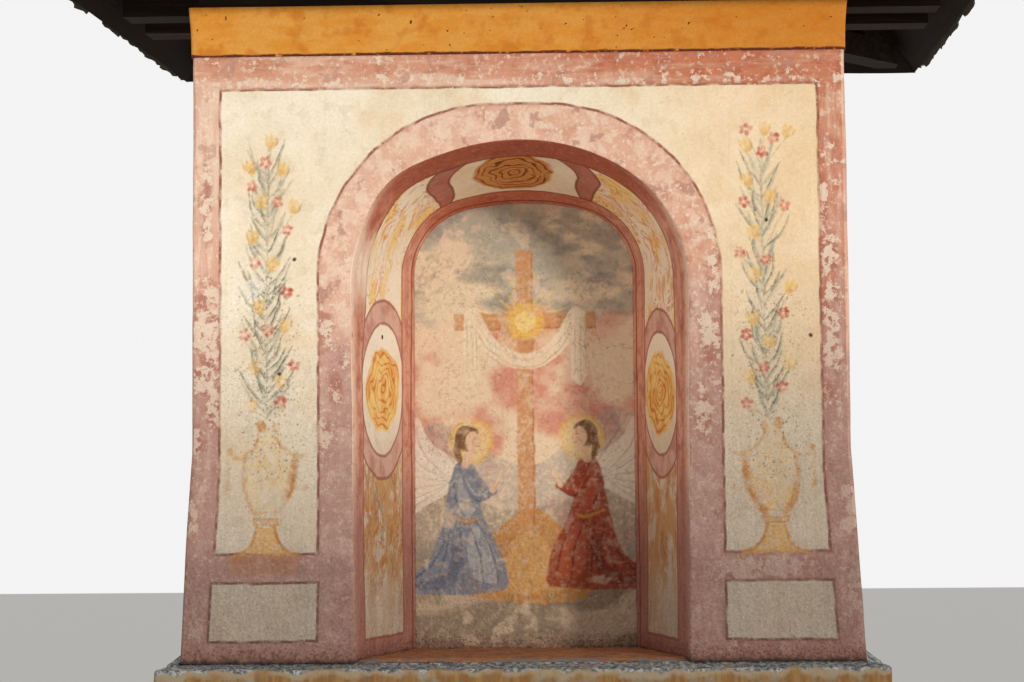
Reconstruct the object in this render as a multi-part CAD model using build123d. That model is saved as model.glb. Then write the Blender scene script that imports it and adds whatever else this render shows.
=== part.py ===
from build123d import *
import math
import os

# A wayside shrine of plastered masonry with an arched picture niche under a shingled hipped roof.
# Millimetres. X runs to the viewer's right, Y to the back, Z up. The origin is the middle of the foot, on the ground.

# Foot, pedestal and ledge
BASE_HALF_WIDTH = 758.0
BASE_HALF_DEPTH = 458.0
BASE_HEIGHT = 240.0
BASE_WEATHERING_RUN = 16.0
BASE_WEATHERING_RISE = 24.0
PEDESTAL_HALF_WIDTH = 706.0
PEDESTAL_HALF_DEPTH = 406.0
PEDESTAL_HEIGHT = 945.0
LEDGE_PROJECTION = 62.0
LEDGE_HEIGHT = 95.0
LEDGE_FALL = 8.0
LEDGE_UNDERCUT = 26.0

# Head: four masses of masonry round the niche, wider at the foot where the plaster flares
HEAD_HALF_WIDTH = 700.0
HEAD_HALF_DEPTH = 400.0
HEAD_HEIGHT = 1295.0
FLARE_HEIGHT = 440.0
FLARE = 22.0
FRIEZE_HEIGHT = 107.0
FRIEZE_PROJECTION = 3.0
FRIEZE_COVE = 5.0

# Niche: a splayed recess, each end a three-centred arch on straight jambs
NICHE_DEPTH = 390.0
BACK_PLASTER = 12.0
FLOOR_BED = 8.0
MOUTH_HALF_WIDTH = 359.0
MOUTH_FOOT_HALF_WIDTH = 350.0
MOUTH_RISE = 1106.0
MOUTH_CROWN_RADIUS = 430.0
MOUTH_SHOULDER_RADIUS = 290.0
BACK_HALF_WIDTH = 252.0
BACK_RISE = 1024.0
BACK_CROWN_RADIUS = 600.0
BACK_SHOULDER_RADIUS = 160.0

# Timber ring and joists under the roof
PLATE_HEIGHT = 45.0
PLATE_WIDTH = 110.0
PLATE_INSET = 12.0
JOIST_HEIGHT = 58.0
JOIST_WIDTH = 70.0
JOIST_COUNT = 5
JOIST_CLEARANCE = 43.0
STUB_CLEARANCE = 8.5
SIDE_REACH = 250.0
SKEW_REACH = 141.0
END_REACH = 198.0
RAFTER_DEPTH = 70.0
RAFTER_WIDTH = 64.0
HIP_WIDTH = 76.0
HIP_DEPTH = 96.0
RIDGE_BEAM_WIDTH = 60.0
RIDGE_BEAM_HEIGHT = 110.0

# Roof skin, at one pitch on all four sides
ROOF_PITCH = 45.0
BOARD_THICKNESS = 24.0
BOARD_OVERHANG = 60.0
SHINGLE_OVERHANG = 85.0
COURSE_COUNT = 8
BUTT_THICKNESS = 24.0
HEAD_THICKNESS = 10.0
CAP_WIDTH = 92.0
CAP_THICKNESS = 20.0
CAP_OVERHANG = 6.0

# Levels and lines that follow from the sizes above
PEDESTAL_TOP = BASE_HEIGHT + PEDESTAL_HEIGHT
LEDGE_TOP = PEDESTAL_TOP + LEDGE_HEIGHT
LEDGE_HALF_WIDTH = PEDESTAL_HALF_WIDTH + LEDGE_PROJECTION
LEDGE_HALF_DEPTH = PEDESTAL_HALF_DEPTH + LEDGE_PROJECTION
HEAD_TOP = LEDGE_TOP + HEAD_HEIGHT
WALL_TOP = HEAD_TOP + FRIEZE_HEIGHT
FRONT_FACE = -HEAD_HALF_DEPTH
PICTURE_PLANE = FRONT_FACE + NICHE_DEPTH
MASONRY_BACK_PLANE = PICTURE_PLANE + BACK_PLASTER
PLATE_TOP = WALL_TOP + PLATE_HEIGHT
EAVE_LEVEL = PLATE_TOP + JOIST_HEIGHT
RISE_PER_RUN = math.tan(math.radians(ROOF_PITCH))
UPRIGHT = 1 / math.cos(math.radians(ROOF_PITCH))
BOARD_RISE = BOARD_THICKNESS * UPRIGHT
RAFTER_DROP = RAFTER_DEPTH * UPRIGHT
BUTT_RISE = BUTT_THICKNESS * UPRIGHT
HEAD_RISE = HEAD_THICKNESS * UPRIGHT
CAP_RISE = CAP_THICKNESS * UPRIGHT
SIDE_LINE = HEAD_HALF_WIDTH + SIDE_REACH
SKEW_LINE = HEAD_HALF_WIDTH + SKEW_REACH
END_LINE = HEAD_HALF_DEPTH + END_REACH
OUTER_JOIST_FACE = HEAD_HALF_WIDTH - PLATE_INSET - PLATE_WIDTH - JOIST_CLEARANCE
JOIST_SPACING = (OUTER_JOIST_FACE - JOIST_WIDTH / 2) / (JOIST_COUNT // 2)
DRAGON_JOIST_END = END_LINE - (SIDE_LINE - OUTER_JOIST_FACE)
STUB_OFFSET = DRAGON_JOIST_END - JOIST_WIDTH * math.sqrt(0.5) - JOIST_WIDTH / 2 - STUB_CLEARANCE
FAR = 3000.0

# The ends of the joists in plan, anticlockwise from the front left. The back left corner is drawn in,
# because that eave isn't square to the wall.
CORNERS = [
    Vector(-SIDE_LINE, -END_LINE),
    Vector(SIDE_LINE, -END_LINE),
    Vector(SIDE_LINE, END_LINE),
    Vector(-SKEW_LINE, END_LINE),
]
CORNER_NAMES = ["front_left", "front_right", "back_right", "back_left"]
SIDE_NAMES = ["front", "right", "back", "left"]
FRONT, RIGHT, BACK, LEFT = range(4)


def block(x_range, y_range, z_range):
    """A box between two corners."""
    size = [high - low for low, high in (x_range, y_range, z_range)]
    middle = [(high + low) / 2 for low, high in (x_range, y_range, z_range)]
    return Pos(*middle) * Box(*size)


def upright(points, low, high):
    """A prism on an outline in plan."""
    outline = make_face(Polyline([(p.X, p.Y) for p in points], close=True).wire())
    return extrude(Pos(0, 0, low) * outline, high - low)


def together(shapes):
    """One piece from several like ones that don't touch."""
    return Compound(children=[solid for shape in shapes for solid in shape.solids()])


def frustum(low_half, high_half, low, high):
    """A block whose plan changes evenly from its foot to its top."""
    foot = Pos(0, 0, low) * Rectangle(2 * low_half[0], 2 * low_half[1])
    top = Pos(0, 0, high) * Rectangle(2 * high_half[0], 2 * high_half[1])
    return loft([foot, top])


# Masonry


def make_base():
    body = block(
        (-BASE_HALF_WIDTH, BASE_HALF_WIDTH),
        (-BASE_HALF_DEPTH, BASE_HALF_DEPTH),
        (0, BASE_HEIGHT),
    )
    top_edges = body.faces().sort_by(Axis.Z)[-1].edges()
    return chamfer(top_edges, BASE_WEATHERING_RISE, BASE_WEATHERING_RUN)


def make_pedestal():
    return block(
        (-PEDESTAL_HALF_WIDTH, PEDESTAL_HALF_WIDTH),
        (-PEDESTAL_HALF_DEPTH, PEDESTAL_HALF_DEPTH),
        (BASE_HEIGHT, PEDESTAL_TOP),
    )


def make_ledge():
    """The slab under the head, with a slight fall outside the head and a sloped underside."""
    nose_low = PEDESTAL_TOP + LEDGE_UNDERCUT
    nose_high = LEDGE_TOP - LEDGE_FALL
    nose = (LEDGE_HALF_WIDTH, LEDGE_HALF_DEPTH)
    seat = (HEAD_HALF_WIDTH + FLARE, HEAD_HALF_DEPTH + FLARE)
    neck = (PEDESTAL_HALF_WIDTH, PEDESTAL_HALF_DEPTH)
    slab = frustum(neck, nose, PEDESTAL_TOP, nose_low)
    slab += frustum(nose, nose, nose_low, nose_high)
    slab += frustum(nose, seat, nose_high, LEDGE_TOP)
    return slab


def arch_outline(half_width, foot_half_width, rise, crown_radius, shoulder_radius):
    """A three-centred arch over jambs that widen a little upwards, as a face in X and Z from the ledge up."""
    crown_z = LEDGE_TOP + rise
    shoulder_x = half_width - shoulder_radius
    crown_centre_z = crown_z - crown_radius
    between = crown_radius - shoulder_radius
    spring_z = crown_centre_z + math.sqrt(between**2 - shoulder_x**2)
    turn = math.atan2(spring_z - crown_centre_z, shoulder_x)

    def on_shoulder(side, angle):
        x = shoulder_x + shoulder_radius * math.cos(angle)
        return (side * x, 0, spring_z + shoulder_radius * math.sin(angle))

    edges = [
        Line((foot_half_width, 0, LEDGE_TOP), on_shoulder(1, 0)),
        ThreePointArc(on_shoulder(1, 0), on_shoulder(1, turn / 2), on_shoulder(1, turn)),
        ThreePointArc(on_shoulder(1, turn), (0, 0, crown_z), on_shoulder(-1, turn)),
        ThreePointArc(on_shoulder(-1, turn), on_shoulder(-1, turn / 2), on_shoulder(-1, 0)),
        Line(on_shoulder(-1, 0), (-foot_half_width, 0, LEDGE_TOP)),
        Line((-foot_half_width, 0, LEDGE_TOP), (foot_half_width, 0, LEDGE_TOP)),
    ]
    return Face(Wire(edges)), spring_z


def mouth_outline():
    return arch_outline(
        MOUTH_HALF_WIDTH, MOUTH_FOOT_HALF_WIDTH, MOUTH_RISE, MOUTH_CROWN_RADIUS, MOUTH_SHOULDER_RADIUS
    )


def back_outline():
    return arch_outline(BACK_HALF_WIDTH, BACK_HALF_WIDTH, BACK_RISE, BACK_CROWN_RADIUS, BACK_SHOULDER_RADIUS)


def along_y(face, low, high):
    """A prism from a face in X and Z, between two depths."""
    return Solid.extrude(Pos(0, low, 0) * face, Vector(0, high - low, 0))


def make_niche_void():
    """The splayed recess, out past the flared front and in to the masonry behind the picture plaster."""
    mouth, _ = mouth_outline()
    back, _ = back_outline()
    splay = loft([Pos(0, FRONT_FACE, 0) * mouth, Pos(0, PICTURE_PLANE, 0) * back])
    throat = along_y(mouth, FRONT_FACE - 2 * FLARE, FRONT_FACE)
    seat = along_y(back, PICTURE_PLANE, MASONRY_BACK_PLANE)
    return splay + throat + seat


def make_head():
    """The head, cut into two piers, the arch over them and the wall behind."""
    foot = (HEAD_HALF_WIDTH + FLARE, HEAD_HALF_DEPTH + FLARE)
    upper = (HEAD_HALF_WIDTH, HEAD_HALF_DEPTH)
    flare_top = LEDGE_TOP + FLARE_HEIGHT
    mass = frustum(foot, upper, LEDGE_TOP, flare_top) + frustum(upper, upper, flare_top, HEAD_TOP)
    mass -= make_niche_void()
    _, spring_z = mouth_outline()
    before = (-FAR, MASONRY_BACK_PLANE)
    lower = (LEDGE_TOP, spring_z)
    return {
        "left_pier": mass & block((-FAR, 0), before, lower),
        "right_pier": mass & block((0, FAR), before, lower),
        "arch_head": mass & block((-FAR, FAR), before, (spring_z, HEAD_TOP)),
        "rear_wall": mass & block((-FAR, FAR), (MASONRY_BACK_PLANE, FAR), (LEDGE_TOP, HEAD_TOP)),
    }


def make_niche_floor():
    """The mortar bed on the ledge inside the niche, clear of the picture plaster's foot."""
    bed = block((-FAR, FAR), (FRONT_FACE, PICTURE_PLANE), (LEDGE_TOP, LEDGE_TOP + FLOOR_BED))
    return make_niche_void() & bed


def make_picture_plaster():
    back, _ = back_outline()
    return along_y(back, PICTURE_PLANE, MASONRY_BACK_PLANE)


def make_frieze():
    foot = FRIEZE_PROJECTION
    top = FRIEZE_PROJECTION + FRIEZE_COVE
    return frustum(
        (HEAD_HALF_WIDTH + foot, HEAD_HALF_DEPTH + foot),
        (HEAD_HALF_WIDTH + top, HEAD_HALF_DEPTH + top),
        HEAD_TOP,
        WALL_TOP,
    )


# Timber


def make_plates():
    """The ring of plates on the wall: two long ones, and two short ones between them."""
    outer_x = HEAD_HALF_WIDTH - PLATE_INSET
    outer_y = HEAD_HALF_DEPTH - PLATE_INSET
    inner_x = outer_x - PLATE_WIDTH
    inner_y = outer_y - PLATE_WIDTH
    level = (WALL_TOP, PLATE_TOP)
    return {
        "front_plate": block((-outer_x, outer_x), (-outer_y, -inner_y), level),
        "back_plate": block((-outer_x, outer_x), (inner_y, outer_y), level),
        "left_plate": block((-outer_x, -inner_x), (-inner_y, inner_y), level),
        "right_plate": block((inner_x, outer_x), (-inner_y, inner_y), level),
    }


def inset_point(corner, inset):
    """Where the two lines that meet at a corner cross once both have moved in by the inset."""
    here = CORNERS[corner]
    before = (here - CORNERS[corner - 1]).normalized()
    after = (CORNERS[(corner + 1) % 4] - here).normalized()
    normal_before = Vector(-before.Y, before.X)
    normal_after = Vector(-after.Y, after.X)
    bisector = (normal_before + normal_after).normalized()
    return here + bisector * (inset / bisector.dot(normal_before))


RIDGE_LEFT = inset_point(0, END_LINE)
RIDGE_RIGHT = inset_point(1, END_LINE)
RIDGE_ENDS = [RIDGE_LEFT, RIDGE_RIGHT, RIDGE_RIGHT, RIDGE_LEFT]
RIDGE_LEVEL = EAVE_LEVEL + END_LINE * RISE_PER_RUN


def roof_body(inset):
    """The hipped volume under the rafters' upper faces, from the level where the slopes are inset by that much."""
    foot = [inset_point(n, inset) + Vector(0, 0, EAVE_LEVEL + inset * RISE_PER_RUN) for n in range(4)]
    left = Vector(RIDGE_LEFT.X, 0, RIDGE_LEVEL)
    right = Vector(RIDGE_RIGHT.X, 0, RIDGE_LEVEL)
    sides = [
        [foot[3], foot[2], foot[1], foot[0]],
        [foot[0], foot[1], right, left],
        [foot[1], foot[2], right],
        [foot[2], foot[3], left, right],
        [foot[3], foot[0], left],
    ]
    faces = [Face(Wire.make_polygon(points, close=True)) for points in sides]
    return Solid(Shell(faces))


def slope_outline(side, inset):
    """The plan of one slope from that inset up to the ridge."""
    low = inset_point(side, inset)
    high = inset_point((side + 1) % 4, inset)
    ends = {FRONT: [RIDGE_RIGHT, RIDGE_LEFT], RIGHT: [RIDGE_RIGHT], BACK: [RIDGE_LEFT, RIDGE_RIGHT], LEFT: [RIDGE_LEFT]}
    return [low, high, *ends[side]]


def slope_prism(side, inset):
    return upright(slope_outline(side, inset), 0, 2 * FAR)


def slope_piece(side, profile, inset):
    """A profile of inset and height run along one slope, and cut upright at the hips."""
    start = CORNERS[side]
    along = (CORNERS[(side + 1) % 4] - start).normalized()
    inward = Vector(-along.Y, along.X)
    section = Plane(origin=start - along * FAR, x_dir=inward, z_dir=-along)
    points = [(run, rise + EAVE_LEVEL) for run, rise in profile]
    face = section * make_face(Polyline([(x, -y) for x, y in points], close=True).wire())
    length = (CORNERS[(side + 1) % 4] - start).length + 2 * FAR
    return Solid.extrude(face.face(), along * length) & slope_prism(side, inset)


def board_profile():
    foot = -BOARD_OVERHANG
    return [
        (foot, foot * RISE_PER_RUN),
        (END_LINE, END_LINE * RISE_PER_RUN),
        (END_LINE, END_LINE * RISE_PER_RUN + BOARD_RISE),
        (foot, foot * RISE_PER_RUN + BOARD_RISE),
    ]


def shingle_profile():
    """Overlapping courses: each is thick at its butt and thin where the next one covers it."""
    foot = -SHINGLE_OVERHANG
    step = (END_LINE - foot) / COURSE_COUNT
    points = [(END_LINE, END_LINE * RISE_PER_RUN + BOARD_RISE), (foot, foot * RISE_PER_RUN + BOARD_RISE)]
    for course in range(COURSE_COUNT):
        low = foot + course * step
        high = low + step
        points.append((low, low * RISE_PER_RUN + BOARD_RISE + BUTT_RISE))
        points.append((high, high * RISE_PER_RUN + BOARD_RISE + HEAD_RISE))
    return points


def make_joists():
    """Cross joists over the plates, stubs to the two short sides, and a dragon stub to each corner."""
    floor = upright(CORNERS, PLATE_TOP, EAVE_LEVEL)
    half = JOIST_WIDTH / 2
    level = (PLATE_TOP, EAVE_LEVEL)
    pieces = {}
    across = []
    for number in range(JOIST_COUNT):
        x = (number - JOIST_COUNT // 2) * JOIST_SPACING
        across.append(block((x - half, x + half), (-FAR, FAR), level) & floor)
    pieces["cross_joists"] = together(across)
    for name, sign in (("left", -1), ("right", 1)):
        stubs = [
            block(sorted((sign * OUTER_JOIST_FACE, sign * FAR)), (y - half, y + half), level) & floor
            for y in (-STUB_OFFSET, STUB_OFFSET)
        ]
        pieces[f"{name}_stub_joists"] = together(stubs)
    beside = {
        -1: block((-FAR, -OUTER_JOIST_FACE), (-FAR, FAR), level),
        1: block((OUTER_JOIST_FACE, FAR), (-FAR, FAR), level),
    }
    for corner, name in zip(CORNERS, CORNER_NAMES):
        side = math.copysign(1, corner.X)
        end = math.copysign(1, corner.Y)
        beam = Box(2 * FAR, JOIST_WIDTH, JOIST_HEIGHT)
        beam = Rot(0, 0, 45 * side * end) * beam
        beam = Pos(corner.X, corner.Y, (PLATE_TOP + EAVE_LEVEL) / 2) * beam
        pieces[f"{name}_dragon_joist"] = beam & floor & beside[int(side)]
    return pieces


def rafter_layer():
    """The layer under the roof's boards that the rafters are cut from."""
    return roof_body(0) - Pos(0, 0, -RAFTER_DROP) * roof_body(-2 * RAFTER_DROP)


def quarter(corner):
    """All that lies on one corner's side of both middle planes."""
    x, y = CORNERS[corner].X, CORNERS[corner].Y
    return block(sorted((0, math.copysign(FAR, x))), sorted((0, math.copysign(FAR, y))), (0, 2 * FAR))


def make_ridge_beam():
    half = RIDGE_BEAM_WIDTH / 2
    beam = block((RIDGE_LEFT.X, RIDGE_RIGHT.X), (-half, half), (RIDGE_LEVEL - RIDGE_BEAM_HEIGHT, RIDGE_LEVEL))
    return beam & roof_body(0)


def make_hip_rafter(corner):
    """A rafter under one hip, backed to both slopes, level on its dragon joist and plumb at the ridge beam."""
    start = CORNERS[corner] + Vector(0, 0, EAVE_LEVEL)
    end = RIDGE_ENDS[corner] + Vector(0, 0, RIDGE_LEVEL)
    run = (RIDGE_ENDS[corner] - CORNERS[corner]).length
    rise = RIDGE_LEVEL - EAVE_LEVEL
    drop = HIP_DEPTH * math.hypot(run, rise) / run
    direction = (RIDGE_ENDS[corner] - CORNERS[corner]).normalized()
    side = direction.cross(Vector(0, 0, 1))
    points = [start, end, end - Vector(0, 0, drop), start + direction * (drop * run / rise)]
    face = Face(Wire.make_polygon([point - side * (HIP_WIDTH / 2) for point in points], close=True))
    return Solid.extrude(face, side * HIP_WIDTH) & roof_body(0) & quarter(corner)


def make_rafters(side, strips, neighbours):
    """The rafters of one slope: upright strips of the rafter layer, cut back to the beams that they meet."""
    rafters = []
    for strip in strips:
        rafter = strip & rafter_layer() & slope_prism(side, 0)
        for beam in neighbours:
            rafter -= beam
        rafters.append(rafter.solids().sort_by(SortBy.VOLUME)[-1])
    return together(rafters)


def make_roof_frame():
    pieces = {"ridge_beam": make_ridge_beam()}
    for corner, name in enumerate(CORNER_NAMES):
        pieces[f"{name}_hip_rafter"] = make_hip_rafter(corner) - pieces["ridge_beam"]
    neighbours = list(pieces.values())
    half = RAFTER_WIDTH / 2
    for side, sign in ((FRONT, -1), (BACK, 1)):
        strips = [
            block((x - half, x + half), sorted((0, sign * FAR)), (0, 2 * FAR))
            for x in (JOIST_SPACING * (number - JOIST_COUNT // 2) for number in range(JOIST_COUNT))
        ]
        pieces[f"{SIDE_NAMES[side]}_rafters"] = make_rafters(side, strips, neighbours)
    for side, sign in ((LEFT, -1), (RIGHT, 1)):
        strips = [
            block(sorted((0, sign * FAR)), (y - half, y + half), (0, 2 * FAR)) for y in (-STUB_OFFSET, STUB_OFFSET)
        ]
        pieces[f"{SIDE_NAMES[side]}_rafters"] = make_rafters(side, strips, neighbours)
    return pieces


def make_roof_skin():
    pieces = {}
    for side, name in enumerate(SIDE_NAMES):
        pieces[f"{name}_roof_boards"] = slope_piece(side, board_profile(), -BOARD_OVERHANG)
        pieces[f"{name}_shingles"] = slope_piece(side, shingle_profile(), -SHINGLE_OVERHANG)
    return pieces


def make_caps():
    """Boards laid over the hips and the ridge, on the butts of the shingles."""
    reach = SHINGLE_OVERHANG + CAP_OVERHANG
    seat = BOARD_RISE + BUTT_RISE
    outside = Pos(0, 0, seat + CAP_RISE) * roof_body(-2 * reach)
    inside = Pos(0, 0, seat) * roof_body(-3 * reach)
    eaves = upright([inset_point(corner, -reach) for corner in range(4)], 0, 2 * FAR)
    layer = (outside - inside) & eaves
    between = block((RIDGE_LEFT.X, RIDGE_RIGHT.X), (-CAP_WIDTH, CAP_WIDTH), (0, 2 * FAR))
    pieces = {"ridge_cap": layer & between}
    for corner, name in enumerate(CORNER_NAMES):
        start = inset_point(corner, -2 * reach)
        along = (RIDGE_ENDS[corner] - start).normalized()
        across = Vector(-along.Y, along.X) * CAP_WIDTH
        past = RIDGE_ENDS[corner] + along * CAP_WIDTH
        strip = upright([start - across, past - across, past + across, start + across], 0, 2 * FAR)
        beyond = block(
            sorted((RIDGE_ENDS[corner].X, math.copysign(FAR, CORNERS[corner].X))), (-FAR, FAR), (0, 2 * FAR)
        )
        pieces[f"{name}_hip_cap"] = layer & strip & beyond & quarter(corner)
    return pieces


def make_shrine():
    pieces = {
        "base_plinth": make_base(),
        "pedestal": make_pedestal(),
        "ledge_slab": make_ledge(),
        "niche_floor_bed": make_niche_floor(),
        "picture_plaster": make_picture_plaster(),
        "ochre_frieze": make_frieze(),
    }
    pieces.update(make_head())
    pieces.update(make_plates())
    pieces.update(make_joists())
    pieces.update(make_roof_frame())
    pieces.update(make_roof_skin())
    pieces.update(make_caps())
    return pieces


os.makedirs("parts", exist_ok=True)
for node, shape in make_shrine().items():
    solids = shape.solids()
    part = solids[0] if len(solids) == 1 else Compound(children=list(solids))
    export_step(part, f"parts/{node}.step")
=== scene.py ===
import contextlib
import functools
import math

import bmesh
import bpy
import numpy as np
from mathutils import Matrix, Vector


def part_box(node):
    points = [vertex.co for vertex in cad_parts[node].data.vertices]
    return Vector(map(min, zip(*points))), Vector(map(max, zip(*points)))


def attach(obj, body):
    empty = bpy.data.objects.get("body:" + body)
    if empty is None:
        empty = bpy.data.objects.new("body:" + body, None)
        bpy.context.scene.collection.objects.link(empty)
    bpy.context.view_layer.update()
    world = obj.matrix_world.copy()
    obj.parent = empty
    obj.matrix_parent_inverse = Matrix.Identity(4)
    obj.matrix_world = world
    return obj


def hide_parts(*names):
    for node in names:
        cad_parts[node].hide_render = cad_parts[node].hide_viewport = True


# A wayside shrine of painted plaster with an arched picture niche under a shingled hipped roof.
# Metres. X runs to the viewer's right, Y to the back, Z up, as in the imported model.

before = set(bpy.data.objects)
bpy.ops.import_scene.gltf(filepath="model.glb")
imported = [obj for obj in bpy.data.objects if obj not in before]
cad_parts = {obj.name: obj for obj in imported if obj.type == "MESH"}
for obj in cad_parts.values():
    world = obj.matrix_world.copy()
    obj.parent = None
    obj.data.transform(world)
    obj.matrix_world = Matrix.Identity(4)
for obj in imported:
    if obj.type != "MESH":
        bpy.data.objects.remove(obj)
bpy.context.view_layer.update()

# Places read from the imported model

BASE_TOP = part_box("base_plinth")[1].z
PEDESTAL_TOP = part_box("pedestal")[1].z
LEDGE_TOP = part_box("ledge_slab")[1].z
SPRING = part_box("left_pier")[1].z
HEAD_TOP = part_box("rear_wall")[1].z
WALL_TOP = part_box("ochre_frieze")[1].z
EAVE_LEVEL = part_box("cross_joists")[1].z
HALF_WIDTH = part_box("arch_head")[1].x
HALF_DEPTH = -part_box("arch_head")[0].y
FRONT = -HALF_DEPTH
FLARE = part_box("right_pier")[1].x - HALF_WIDTH
PICTURE_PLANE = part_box("picture_plaster")[0].y
PICTURE_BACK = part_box("picture_plaster")[1].y
BACK_HALF_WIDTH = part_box("picture_plaster")[1].x
BACK_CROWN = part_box("picture_plaster")[1].z
MOUTH_FOOT_HALF_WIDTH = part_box("niche_floor_bed")[1].x
NICHE_DEPTH = PICTURE_PLANE - FRONT

# The arch outlines: half width, crown level, crown radius and shoulder radius. The band's is only painted.

FLARE_TOP = LEDGE_TOP + 0.44
MOUTH_ARCH = (0.359, LEDGE_TOP + 1.106, 0.430, 0.290)
BACK_ARCH = (BACK_HALF_WIDTH, BACK_CROWN, 0.600, 0.160)
BAND_ARCH = (0.429, LEDGE_TOP + 1.187, 1.190, 0.370)

# Painted lines of the face

FRAME_WIDTH = 0.061
FRAME_TOP = 2.503
PANEL_FOOT = 1.509
LOW_PANEL_MIDDLE = 1.387
LOW_PANEL_HALF = 0.061


def srgb(red, green, blue):
    """A colour as it looks on a screen, 0 to 255, as the linear values that a shader takes."""
    linear = [c / 255 / 12.92 if c <= 10 else ((c / 255 + 0.055) / 1.055) ** 2.4 for c in (red, green, blue)]
    return (*linear, 1.0)


# Repeatable noise


def lattice(cells, seed):
    """A repeatable number from 0 to 1 at each whole-number cell."""
    x, y, z = (cells[:, axis].astype(np.uint32) for axis in range(3))
    n = x * np.uint32(374761393) + y * np.uint32(668265263) + z * np.uint32(2246822519)
    n = n + np.uint32(seed * 40503)
    n = (n ^ (n >> 13)) * np.uint32(1274126177)
    n = (n ^ (n >> 15)) * np.uint32(2654435769)
    return (n ^ (n >> 16)) / 2.0**32


def noise(points, size, seed=0):
    """Smooth noise from -1 to 1, with features about as large as size, at rows of points."""
    scaled = np.asarray(points, float) / size
    cells = np.floor(scaled).astype(np.int64)
    part = scaled - cells
    part = part * part * (3 - 2 * part)
    total = 0
    for corner in range(8):
        step = np.array([corner & 1, corner >> 1 & 1, corner >> 2 & 1])
        weight = np.prod(np.where(step, part, 1 - part), axis=1)
        total = total + weight * lattice(cells + step, seed)
    return 2 * total - 1


def rough(points, size, octaves=3, seed=0):
    """Noise of several sizes added up, each half as large and half as strong as the one before."""
    return sum(noise(points, size / 2**octave, seed + 17 * octave) / 2**octave for octave in range(octaves))


def smooth(value, low, high):
    """0 below low, 1 above high and an easy slope between; low may be the larger."""
    t = np.clip((value - low) / (high - low), 0, 1)
    return t * t * (3 - 2 * t)


# Meshes


class Skin:
    """A surface gathered from grids of points, welded where the grids meet."""

    def __init__(self):
        self.points = []
        self.fields = []
        self.faces = []
        self.materials = []
        self.count = 0

    def patch(self, points, material=0, **fields):
        """A grid of points and a face for each of its cells; the material may be one number for each row."""
        rows, columns = points.shape[:2]
        index = self.count + np.arange(rows * columns).reshape(rows, columns)
        self.count += rows * columns
        self.points.append(points.reshape(-1, 3))
        self.fields.append({k: np.broadcast_to(v, (rows, columns)).reshape(-1) for k, v in fields.items()})
        self.faces.extend(grid_faces(index).reshape(-1, 4).tolist())
        self.materials.extend(np.repeat(np.broadcast_to(material, rows - 1), columns - 1).tolist())
        return index

    def face(self, loop, material=0):
        self.faces.append([int(point) for point in loop])
        self.materials.append(material)

    def build(self, name, materials):
        """The surface as an object facing outwards; faces of more than four corners are hidden ends."""
        fields = {}
        for field in sorted({key for patch in self.fields for key in patch}):
            parts = [patch.get(field, np.zeros(len(at))) for patch, at in zip(self.fields, self.points)]
            fields[field] = np.concatenate(parts)
        mesh = make_mesh(name, np.concatenate(self.points), self.faces, materials, fields)
        mesh.polygons.foreach_set("material_index", self.materials)
        weld(mesh)
        return add_object(name, mesh)


def add_object(name, data):
    made = bpy.data.objects.new(name, data)
    bpy.context.scene.collection.objects.link(made)
    return made


def make_mesh(name, points, faces, materials, fields):
    """A mesh with its materials and with a number at each point for every field."""
    mesh = bpy.data.meshes.new(name)
    mesh.from_pydata(np.asarray(points).tolist(), [], faces)
    for material in materials:
        mesh.materials.append(material)
    for field, values in fields.items():
        set_field(mesh, field, values)
    return mesh


def grid_faces(index):
    """The corners of a face for each cell of a grid of point numbers."""
    return np.stack([index[:-1, :-1], index[:-1, 1:], index[1:, 1:], index[1:, :-1]], 2)


def rows_of(x, y, z=0.0):
    """Rows of points from grids of coordinates."""
    return np.stack([part.ravel() for part in np.broadcast_arrays(x, y, z)], 1)


def unit(vectors):
    return vectors / np.linalg.norm(vectors, axis=-1, keepdims=True)


def set_field(mesh, field, values):
    """Lay a number on each point, which a material can read by the field's name."""
    attribute = mesh.attributes.new(field, "FLOAT", "POINT")
    attribute.data.foreach_set("value", np.asarray(values, np.float32))


@contextlib.contextmanager
def opened(mesh):
    """The mesh opened for edits, then written back with every face turned outwards."""
    work = bmesh.new()
    work.from_mesh(mesh)
    yield work
    bmesh.ops.recalc_face_normals(work, faces=work.faces)
    work.to_mesh(mesh)
    work.free()


def weld(mesh, grain=2e-5):
    """Join points that lie together and drop what that closes up."""
    with opened(mesh) as work:
        bmesh.ops.remove_doubles(work, verts=work.verts, dist=grain)
        bmesh.ops.dissolve_degenerate(work, edges=work.edges, dist=grain)
        for face in work.faces:
            face.smooth = len(face.verts) <= 4


def close_back(piece, shift, axis=1):
    """Carry a sheet's rim back by a shift along an axis and fill it, which makes the sheet a solid."""
    with opened(piece.data) as work:
        rim = [edge for edge in work.edges if edge.is_boundary]
        made = bmesh.ops.extrude_edge_only(work, edges=rim)["geom"]
        for point in made:
            if isinstance(point, bmesh.types.BMVert):
                point.co[axis] += shift
        ends = [edge for edge in made if isinstance(edge, bmesh.types.BMEdge) and edge.is_boundary]
        bmesh.ops.edgeloop_fill(work, edges=ends)
        for face in work.faces:
            if len(face.verts) > 4 or any(edge in ends for edge in face.edges):
                face.smooth = False


def points_of(piece, kind="co"):
    values = np.empty(len(piece.data.vertices) * 3, np.float32)
    piece.data.vertices.foreach_get(kind, values)
    return values.reshape(-1, 3).astype(float)


def displace(piece, offset, hold):
    """Move each point along its normal by an offset worked out from its place."""
    places, normals = points_of(piece), points_of(piece, "normal")
    hold(places, normals)
    moved = places + normals * offset(places)[:, None]
    piece.data.vertices.foreach_set("co", moved.astype(np.float32).reshape(-1))
    piece.data.update()


def place(piece, slot, *nodes):
    """Fix a piece to the shrine in place of the nodes it stands for; the slot is not used."""
    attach(piece, "root")
    if nodes:
        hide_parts(*nodes)
    return piece


# Shaders

SHEEN = 0.2


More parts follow.
